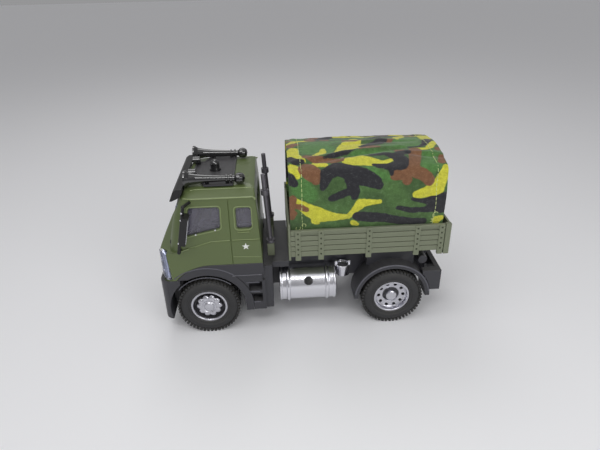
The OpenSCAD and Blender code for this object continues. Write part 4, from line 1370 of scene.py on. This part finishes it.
seam_front, seam_rear = cover_high.x - 5.7, cover_low.x + 5.7
MOST = 2.6
fallen = [p.copy() for row in sheet_points for p in row]
started = fallen
fallen = drape(sheet_points, "canopy_frame", (seam_front, seam_rear))
moved = [(b - a).length for a, b in zip(started, fallen)]
fallen = [a + (b - a) * min(1.0, MOST / max(d, 1e-6)) for a, b, d in zip(started, fallen, moved)]
average = sum(moved) / len(moved)
print("the cloth settled by up to", round(max(moved), 2), "mm, on average", round(average, 2))


# %% [markdown]
# Each end of the sheet is turned back inside and sewn down, which makes a hem of two layers. A hem is what
# tells the eye that this is cloth, so the sheet's own rows are carried round the fold and a little way
# back. The drape was done on a coarse grid; a spline through its points gives the fine one that carries
# the print.

# %% A finer sheet with folded hems
FINE = 2
hem = 5.4


def spline_row(points, parts):
    """Catmull-Rom points between the given ones."""
    ends = [points[0] * 2 - points[1]] + points + [points[-1] * 2 - points[-2]]
    made = []
    for k in range(1, len(ends) - 2):
        p0, p1, p2, p3 = ends[k - 1:k + 3]
        for j in range(parts):
            t = j / parts
            made.append(0.5 * (2 * p1 + (p2 - p0) * t + (2 * p0 - 5 * p1 + 4 * p2 - p3) * t * t
                               + (3 * p1 - p0 - 3 * p2 + p3) * t * t * t))
    return made + [points[-1].copy()]


rows = [spline_row(fallen[r * ACROSS:(r + 1) * ACROSS], FINE) for r in range(ALONG)]
columns = [spline_row(list(column), FINE) for column in zip(*rows)]
fine_rows = [list(row) for row in zip(*columns)]
fine_along, fine_across = len(fine_rows), len(fine_rows[0])
row_step, column_step = cloth_width / (fine_along - 1), cloth_length / (fine_across - 1)


def inward(row, column):
    """The direction that points from the sheet towards the inside of the bed."""
    a = fine_rows[min(row + 1, fine_along - 1)][column] - fine_rows[max(row - 1, 0)][column]
    b = fine_rows[row][min(column + 1, fine_across - 1)] - fine_rows[row][max(column - 1, 0)]
    return a.cross(b).normalized()


# %% [markdown]
# The sheet was folded flat before it was sewn to the toy, and the creases never quite go. Each fold is a
# line drawn on the flat cloth. On one side of it the cloth stands up and on the other it sinks.
# Broad uneven fullness comes from a smooth noise, and the thread pulls small puckers along each hem.

# %% Folds, fullness and puckers
FOLDS = [
    ([(3, 36.5), (-12, 40), (-23, 43.2), (-36, 46), (-52, 48.5)], 1.15, 1.5),
    ([(-56, 42.5), (-65, 40.5), (-73, 38.5)], 0.8, 1.2), ([(-58, 12), (-64, 20), (-67, 30)], 0.55, 1.8),
    ([(-2, 6), (-9, 16), (-10, 26)], 0.5, 2.2), ([(-26, 56), (-44, 60), (-60, 59)], 0.7, 1.8),
    ([(-10, 3), (-30, 9), (-46, 10)], 0.25, 2.4), ([(0, 78), (-20, 74), (-44, 79), (-66, 73)], 0.5, 1.8),
    ([(-4, 92), (-18, 84), (-36, 88)], 0.35, 2.0),
]


def fold_height(x, up):
    """How far the folds lift the cloth, outward, at a place on the flat cloth."""
    height, here = 0.0, Vector((x, up))
    for line, lift, reach in FOLDS:
        nearest, signed, fade = 99.0, 0.0, 1.0
        for number, (a, b) in enumerate(zip(line, line[1:])):
            a, b = Vector(a), Vector(b)
            span = b - a
            t = min(max((here - a).dot(span) / span.length_squared, 0.0), 1.0)
            away = here - a - span * t
            if away.length < nearest:
                nearest = away.length
                signed = math.copysign(nearest, span.x * away.y - span.y * away.x)
                along = (number + t) / (len(line) - 1)
                fade = math.sin(math.pi * min(max(along, 0.06), 0.94)) ** 0.5
        share = signed / reach
        height -= lift * fade * share * math.exp(0.5 - share * share / 2)
    return height


def fullness(x, up):
    """Broad swelling between the hoops, and puckers close to the stitching."""
    broad = 0.55 * noise.noise(Vector((x * 0.055, up * 0.07, 3.0)))
    narrow = 0.2 * noise.noise(Vector((x * 0.2, up * 0.17, 8.0)))
    to_seam = min(abs(x - seam_front), abs(x - seam_rear))
    ripple = math.sin(up * 2.1 + 2 * noise.noise(Vector((up * 0.3, x * 0.02, 0))))
    return broad + narrow + 0.16 * ripple * math.exp(-(to_seam / 1.7) ** 2)


lifted = []
for r in range(fine_along):
    for c in range(fine_across):
        x, up = cover_low.x + r * row_step, c * column_step - tuck
        free = smooth_step(0, 5, min(up, cloth_length - 2 * tuck - up))
        lifted.append(inward(r, c) * -(fold_height(x, up) + fullness(x, up) + 0.25) * free)
for index, offset in enumerate(lifted):
    fine_rows[index // fine_across][index % fine_across] += offset
print("folds:", len(FOLDS), "highest lift in mm:", round(max(o.length for o in lifted), 2))

# %% Rows of the folded hems
hem_rows = int(hem / row_step)
fold = CLOTH * 1.15


def hem_line(edge, step):
    """Rows that go round the fold at one edge and back inside, with their place in the flat cloth."""
    made = []
    for turn in (45, 90, 135):
        lean = math.radians(turn)
        made.append((edge, -step * math.sin(lean) * fold / 2, fold / 2 * (1 - math.cos(lean)), 0.0))
    for k in range(hem_rows + 1):
        made.append((edge + step * k, 0.0, fold, k * row_step))
    return made


sheet = bmesh.new()
flat_layer = sheet.loops.layers.uv.new("flat cloth")
built, places = [], []
rear_hem = [(row, out, depth, -folded) for row, out, depth, folded in reversed(hem_line(0, 1))]
order = rear_hem + [(row, 0.0, 0.0, None) for row in range(fine_along)] + hem_line(fine_along - 1, -1)
for row, outward_x, depth, folded in order:
    line = []
    for column in range(fine_across):
        spot = fine_rows[row][column] + inward(row, column) * depth + Vector((outward_x, 0, 0))
        line.append(sheet.verts.new(spot))
    built.append(line)
    along = row * row_step if folded is None else (0 if row <= hem_rows else cloth_width) + folded
    places.append(cover_low.x + along)
for r in range(len(built) - 1):
    for c in range(fine_across - 1):
        face = sheet.faces.new((built[r][c], built[r][c + 1], built[r + 1][c + 1], built[r + 1][c]))
        for loop, (i, j) in zip(face.loops, ((r, c), (r, c + 1), (r + 1, c + 1), (r + 1, c))):
            loop[flat_layer].uv = (places[i] / 100, (j * column_step - tuck) / 100)

# %% [markdown]
# ## The camouflage print
#
# The print is four inks with crisp edges on green cotton. A noise texture with a threshold gives blobs,
# but a real print of this kind has long drawn shapes with fingers and tails. So each ink is a list of
# brush strokes: a stroke is a few round dabs, each (place along, place up, radius) in millimetres on the
# flat cloth, joined by tapering lines. For every point of the cloth the script works out how far it lies
# from the nearest stroke of each ink. That distance is smooth, so the mesh can store it coarsely, and the
# shader cuts it at zero.

# %% Brush strokes of the four printed inks
LEAF = [
    [(0, 23, 5), (-4, 19, 4)], [(-33, 31.5, 1.5), (-38, 28, 2), (-43, 26, 2)],
    [(-28, 43, 2), (-40, 44.5, 2.2), (-47, 44, 1.5)], [(-64, 32, 4.5), (-67, 33, 4)],
    [(-65, 39, 3.5), (-69, 43, 3)],
    [(-5, 50, 5.5), (-13, 50, 6)], [(-8, 58, 3), (-16, 57, 2)],
    [(-42, 50, 1.5), (-51, 51, 2.6), (-60, 53, 4.5)],
    [(-60, 58, 5), (-54, 61, 3)], [(1, 62, 3), (3, 68, 2.5)],
]
YELLOW = [
    [(3, 16, 1.5), (-2, 12, 3), (-8, 8, 4), (-16, 6.5, 2.3), (-23, 6.5, 1.5), (-26, 9.5, 1.8),
     (-29, 13.5, 2.5),
     (-34, 14, 1.5), (-39, 14, 0.9)], [(-6, 4.5, 1.6), (-8, 3.5, 1)],
    [(4, 33, 3.2), (2, 29, 1.8)], [(-8, 35.5, 2.5), (-12, 34.2, 1.6)],
    [(-24, 37, 3.5), (-30, 37.5, 4.5), (-35, 36, 3.3), (-41, 34.5, 1.8), (-46, 36.5, 1.1)],
    [(4, 44, 4), (3, 50, 3)], [(2, 43, 2.5), (-2, 38, 0.8)], [(-8, 42.5, 1.6), (-12, 46, 2), (-12.5, 50, 1)],
    [(-19, 45, 1.6), (-24, 49, 4.5), (-28, 55, 5), (-31, 62, 3.5)], [(-31, 52, 3), (-36, 54.5, 1.5)],
    [(-57, 17, 2), (-62, 18, 3), (-67, 20, 4), (-70, 26, 2.5), (-71, 30, 1.5)],
    [(-69, 2, 2.5), (-71, 3, 1.5)], [(-26, 2.5, 1.7), (-28, 1.5, 1)],
    [(-59, 46.2, 1.4), (-65, 45.8, 1), (-68, 47.5, 1.8), (-71, 53, 2)],
]
BROWN = [
    [(4.5, 17, 2), (5.5, 12, 1.8)], [(3, 13.5, 1.4), (0, 12.5, 1.5), (-2, 11.5, 1.4)],
    [(4.5, 9.5, 2), (5, 7.5, 1.4)],
    [(-3, 32, 4.5), (-6, 29, 4), (-7, 26, 2)],
    [(-3, 41.5, 2), (-8, 39, 2.2), (-15, 38, 2.5), (-20, 38.5, 2), (-22, 40, 1)],
    [(-59, 44, 3.5), (-57, 36, 3), (-55, 30, 3), (-49, 28, 3.5), (-46, 27, 2.5)], [(-52, 24.5, 2.5)],
    [(-55, 29, 3), (-60, 27, 3), (-63, 24, 2.8)], [(-50, 45, 1.5), (-53, 45, 1.2)],
    [(-70, 34, 2), (-71, 38, 1.4)],
    [(-31, 47.5, 1.2), (-36, 50, 2.6), (-41, 49.5, 1.6)], [(4, 56, 2.5), (1, 58, 2)], [(-71, 45, 1.8)],
    [(-48, 57, 1.5), (-50, 62, 2.5)],
]
BLACK = [
    [(5, 40, 2.5), (2, 37.5, 2), (-1, 37.5, 1.3)], [(5.5, 27, 3), (3.5, 25, 2)],
    [(-12, 40.4, 0.6), (-17, 42, 1.2), (-23, 44, 1.3), (-28, 46.2, 0.8)],
    [(-12, 29, 3), (-18, 32, 4), (-24, 29.5, 4.2), (-30, 27, 4.5), (-36, 24.5, 3.5), (-38, 22.5, 2.3)],
    [(-12, 27, 3), (-10.5, 22.5, 1.8)], [(-24, 26, 3), (-26, 20, 2.8), (-26, 17.5, 2)],
    [(-24, 20, 2), (-18, 18, 2), (-14.5, 16.5, 1.6)],
    [(-36, 42, 1.3), (-43, 42, 1.5), (-48, 39, 3), (-51, 42, 2.5), (-55, 43, 1.7)],
    [(-50, 36, 4), (-50, 32.5, 3), (-44, 31.5, 2.3), (-38, 32.5, 1.5), (-36, 33.5, 1)],
    [(-44, 30, 1.4), (-44, 28, 1)],
    [(-28, 6.5, 2.8), (-34, 5.5, 3), (-42, 4.5, 2.5), (-50, 2.5, 2.5), (-62, 1.5, 2)],
    [(-48, 10.3, 1.1), (-54, 8.8, 1.6), (-60, 8.5, 1.4), (-68, 9.5, 3)],
    [(-55, 14.7, 0.8), (-60, 13.5, 1.3), (-66, 13, 3), (-71, 12, 6)],
    [(-32, 51, 1), (-36, 53.5, 2), (-42, 56, 3.5),
     (-46, 61, 2.5)], [(-57, 48.3, 0.7), (-62, 48.3, 0.9), (-66, 51, 1.6), (-69, 57, 2.6)],
]


# %% How far each point of the cloth lies from each ink
def stroke_reach(points, strokes):
    """Distance of flat points, an array of (x, s), from the edge of the nearest stroke; negative inside."""
    nearest = numpy.full(len(points), 99.0)
    for stroke in strokes:
        for (ax, ay, ar), (bx, by, br) in zip(stroke, stroke[1:] or stroke):
            a, b = numpy.array([ax, ay]), numpy.array([bx, by])
            span = b - a
            t = numpy.clip((points - a) @ span / max(span @ span, 1e-6), 0, 1)
            away = numpy.linalg.norm(points - a - t[:, None] * span, axis=1) - (ar + t * (br - ar))
            nearest = numpy.minimum(nearest, away)
    return nearest


INKS = {"leaf": LEAF, "yellow": YELLOW, "brown": BROWN, "black": BLACK}
GREEN_WINDOWS = [[(-18, 22.5, 2.1), (-14.5, 21.6, 1.5)]]
TOP_ROW = 54
flat_places = numpy.array([(places[r], c * column_step - tuck)
                           for r in range(len(built)) for c in range(fine_across)])
over_the_top = numpy.stack([cover_low.x + cover_high.x - flat_places[:, 0],
                            cloth_length - 2 * tuck - flat_places[:, 1]], axis=1)
sheet.verts.index_update()
inks_at = {}
for ink, strokes in INKS.items():
    low_strokes = [s for s in strokes if max(dab[1] for dab in s) < TOP_ROW]
    inks_at[ink] = numpy.minimum(stroke_reach(flat_places, strokes), stroke_reach(over_the_top, low_strokes))
inks_at["black"] = numpy.maximum(inks_at["black"], -stroke_reach(flat_places, GREEN_WINDOWS))
layers = {ink: sheet.verts.layers.float.new(ink) for ink in INKS}
for index, vert in enumerate(sheet.verts):
    for ink, layer in layers.items():
        vert[layer] = float(inks_at[ink][index])
print("share of the cloth under each ink:", {i: round(float((d < 0).mean()), 2) for i, d in inks_at.items()})

# %% [markdown]
# The cloth's finish: threads show as a fine plain weave, two sines across each other. Their pitch is that
# of the thin cotton on a toy. A little heather, which is fibres that took less ink, breaks up each colour.

# %% Printed cotton
THREAD = 0.36
COTTON_GREEN = linear(60, 88, 44)
PALE_GREEN = linear(76, 110, 56)
INK_COLOUR = {"leaf": linear(74, 118, 56), "yellow": linear(196, 194, 56), "brown": linear(118, 80, 52),
              "black": linear(33, 33, 38)}


def make_weave_group():
    group, values = new_tree("plain weave", "Shader", [("Pitch", "Float", THREAD)],
                             [("Height", "Float"), ("Heather", "Float")])
    flat = add(group, "ShaderNodeUVMap", uv_map="flat cloth").outputs[0]
    spot = add(group, "ShaderNodeVectorMath", {0: flat, 1: (100, 100, 100)}, operation="MULTIPLY").outputs[0]
    parts = add(group, "ShaderNodeSeparateXYZ", {0: spot}).outputs
    beat = math_node(group, "DIVIDE", math.pi, values["Pitch"])
    warp = math_node(group, "SINE", math_node(group, "MULTIPLY", parts["X"], beat))
    weft = math_node(group, "SINE", math_node(group, "MULTIPLY", parts["Y"], beat))
    weave = math_node(group, "MULTIPLY", warp, weft)
    uneven, slubs = noise_of(group, spot, 2.2, 3.0), noise_of(group, spot, 0.5, 2.0)
    height = math_node(group, "ADD", math_node(group, "MULTIPLY", weave, 0.5), uneven)
    fine_part = math_node(group, "MULTIPLY", uneven, 0.6)
    broad_part = math_node(group, "MULTIPLY", slubs, 0.4)
    fibres = math_node(group, "ADD", fine_part, broad_part)
    add(group, "NodeGroupOutput", {"Height": height, "Heather": fibres})
    return group


def make_print_group():
    cloth = [("Cloth", "Color", COTTON_GREEN), ("Cloth Pale", "Color", PALE_GREEN)]
    inks = [(ink, "Color", colour) for ink, colour in INK_COLOUR.items()]
    group, values = new_tree("printed inks", "Shader", cloth + inks + [("Wobble", "Float", 1.1)],
                             [("Color", "Color")])
    flat = add(group, "ShaderNodeUVMap", uv_map="flat cloth").outputs[0]
    shake = noise_of(group, flat, 38.0, 2.0)
    shake = math_node(group, "MULTIPLY", math_node(group, "SUBTRACT", shake, 0.5), values["Wobble"])
    patches = noise_of(group, flat, 7.0, 3.0)
    faded = {"Value": patches, "From Min": 0.42, "From Max": 0.64}
    pale = add(group, "ShaderNodeMapRange", faded).outputs[0]
    colour = mix_colour(group, pale, values["Cloth"], values["Cloth Pale"])
    for ink in INK_COLOUR:
        reach_here = add(group, "ShaderNodeAttribute", attribute_name=ink).outputs["Fac"]
        edge = math_node(group, "ADD", reach_here, shake)
        blur = 0.9 if ink == "leaf" else 0.22
        soft_edge = {"Value": edge, "From Min": blur, "From Max": -blur}
        share = add(group, "ShaderNodeMapRange", soft_edge).outputs[0]
        colour = mix_colour(group, share, colour, values[ink])
    add(group, "NodeGroupOutput", {"Color": colour})
    return group


weave_group, print_group = make_weave_group(), make_print_group()


def cotton_material():
    made = bpy.data.materials.new("camo_cloth")
    made.use_nodes = True
    tree = made.node_tree
    bsdf = tree.nodes["Principled BSDF"]
    inks = add(tree, "ShaderNodeGroup", node_tree=print_group).outputs["Color"]
    weave = add(tree, "ShaderNodeGroup", node_tree=weave_group).outputs
    shade = add(tree, "ShaderNodeMapRange", {"Value": weave["Heather"], "From Min": 0.3, "From Max": 0.7,
                                             "To Min": 0.6, "To Max": 1.4}).outputs[0]
    worn = add(tree, "ShaderNodeVectorMath", {0: inks, 1: shade}, operation="MULTIPLY").outputs[0]
    pale = add(tree, "ShaderNodeMapRange", {"Value": weave["Heather"], "From Min": 0.55, "From Max": 0.75,
                                            "To Min": 0.0, "To Max": 0.16}).outputs[0]
    tree.links.new(mix_colour(tree, pale, worn, linear(176, 180, 170)), bsdf.inputs["Base Color"])
    bump = add(tree, "ShaderNodeBump", {"Height": weave["Height"], "Distance": 0.05 * MM, "Strength": 0.8})
    tree.links.new(bump.outputs["Normal"], bsdf.inputs["Normal"])
    bsdf.inputs["Roughness"].default_value = 0.88
    bsdf.inputs["Sheen Weight"].default_value = 0.25
    bsdf.inputs["Sheen Roughness"].default_value = 0.5
    return made


camo_cloth = cotton_material()
finish_of["camo_cloth"] = camo_cloth

# %% Show the cover
cover = as_piece("tilt_cover", sheet, "truck", "camo_cloth", smooth=60)
thickness = cover.modifiers.new("thickness", "SOLIDIFY")
thickness.thickness = CLOTH * MM
thickness.offset = 0
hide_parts("canopy_cover")
print("cover:", len(cover.data.polygons), "faces")

# %% [markdown]
# ## Stitches
#
# A row of running stitches holds each hem. A stitch is one short, slightly domed length of thread, so it
# is drawn once along +X, and Geometry Nodes set it on every point of the seam, turned to the way the seam
# runs. A few loose ends are left where each seam starts, as on hand-fed sewing.

# %% Seams along both hems
thread_paint = finish_material("sewing_thread", linear(204, 216, 148), 0.7, grain_size=0.3, dust=0.0)
STITCH, GAP, THREAD_THICK = 1.7, 0.7, 0.15


def cloth_spot(along, up, lift):
    """The outer face of the cover at a distance from its rear end and a distance up from the boards."""
    row = min(max(along / row_step, 0), fine_along - 1.001)
    column = min(max((up + tuck) / column_step, 0), fine_across - 1.001)
    r, c = int(row), int(column)
    u, v = row - r, column - c
    spot = (fine_rows[r][c] * (1 - u) * (1 - v) + fine_rows[r + 1][c] * u * (1 - v)
            + fine_rows[r][c + 1] * (1 - u) * v + fine_rows[r + 1][c + 1] * u * v)
    return spot - inward(r, c) * (CLOTH / 2 + lift)


def running_stitches(along):
    spots, ways = [], []
    up = -1.0
    while up < cloth_length - 2 * tuck + 1:
        wander = 0.28 * noise.noise(Vector((along * 0.7, up * 0.16, 2.0)))
        start = cloth_spot(along + wander, up, 0.04)
        end = cloth_spot(along + wander, up + STITCH, 0.04)
        spots.append((start + end) / 2)
        ways.append((end - start).normalized())
        up += STITCH + GAP
    return spots, ways


def one_stitch():
    mesh = bmesh.new()
    path = [Vector((STITCH * (k / 6 - 0.5), 0, 0)) for k in range(7)]
    sweep(mesh, path, THREAD_THICK, THREAD_THICK, Vector((0, 0, 1)), steps=6)
    return mesh


for name, along in (("rear", hem - 0.4), ("front", cloth_width - hem - 0.5)):
    spots, ways = running_stitches(along)
    scatter(f"stitches_{name}", one_stitch(), spots, thread_paint, "camo_cloth", ways)
print("stitches along a hem:", len(spots))

# %% Loose ends of the thread
def loose_end(along, up, length, seed):
    """A thread's tail that lies on the cloth and curls as it goes."""
    path, heading, at = [], 0.6 * seed, Vector((along, up))
    for k in range(14):
        path.append(cloth_spot(at.x, at.y, 0.1 + 0.05 * math.sin(k)))
        heading += 0.55 * noise.noise(Vector((seed * 3.1, k * 0.35, 0.5))) + 0.34
        at += Vector((math.cos(heading), math.sin(heading))) * length / 13
    mesh = bmesh.new()
    sweep(mesh, path, 0.13, 0.13, Vector((0, 1, 0.3)), steps=6)
    return mesh


TAILS = [(hem - 0.2, 3.6, 5.2, 1), (hem + 0.9, 2.6, 3.6, 4), (cloth_width - hem + 0.6, 1.4, 5.5, 7),
         (cloth_width - hem - 0.4, 2.2, 4.2, 2)]
for number, (along, up, length, seed) in enumerate(TAILS):
    as_piece(f"thread_end_{number + 1}", loose_end(along, up, length, seed), "truck", "camo_cloth",
             thread_paint)
print("loose ends:", len(TAILS))
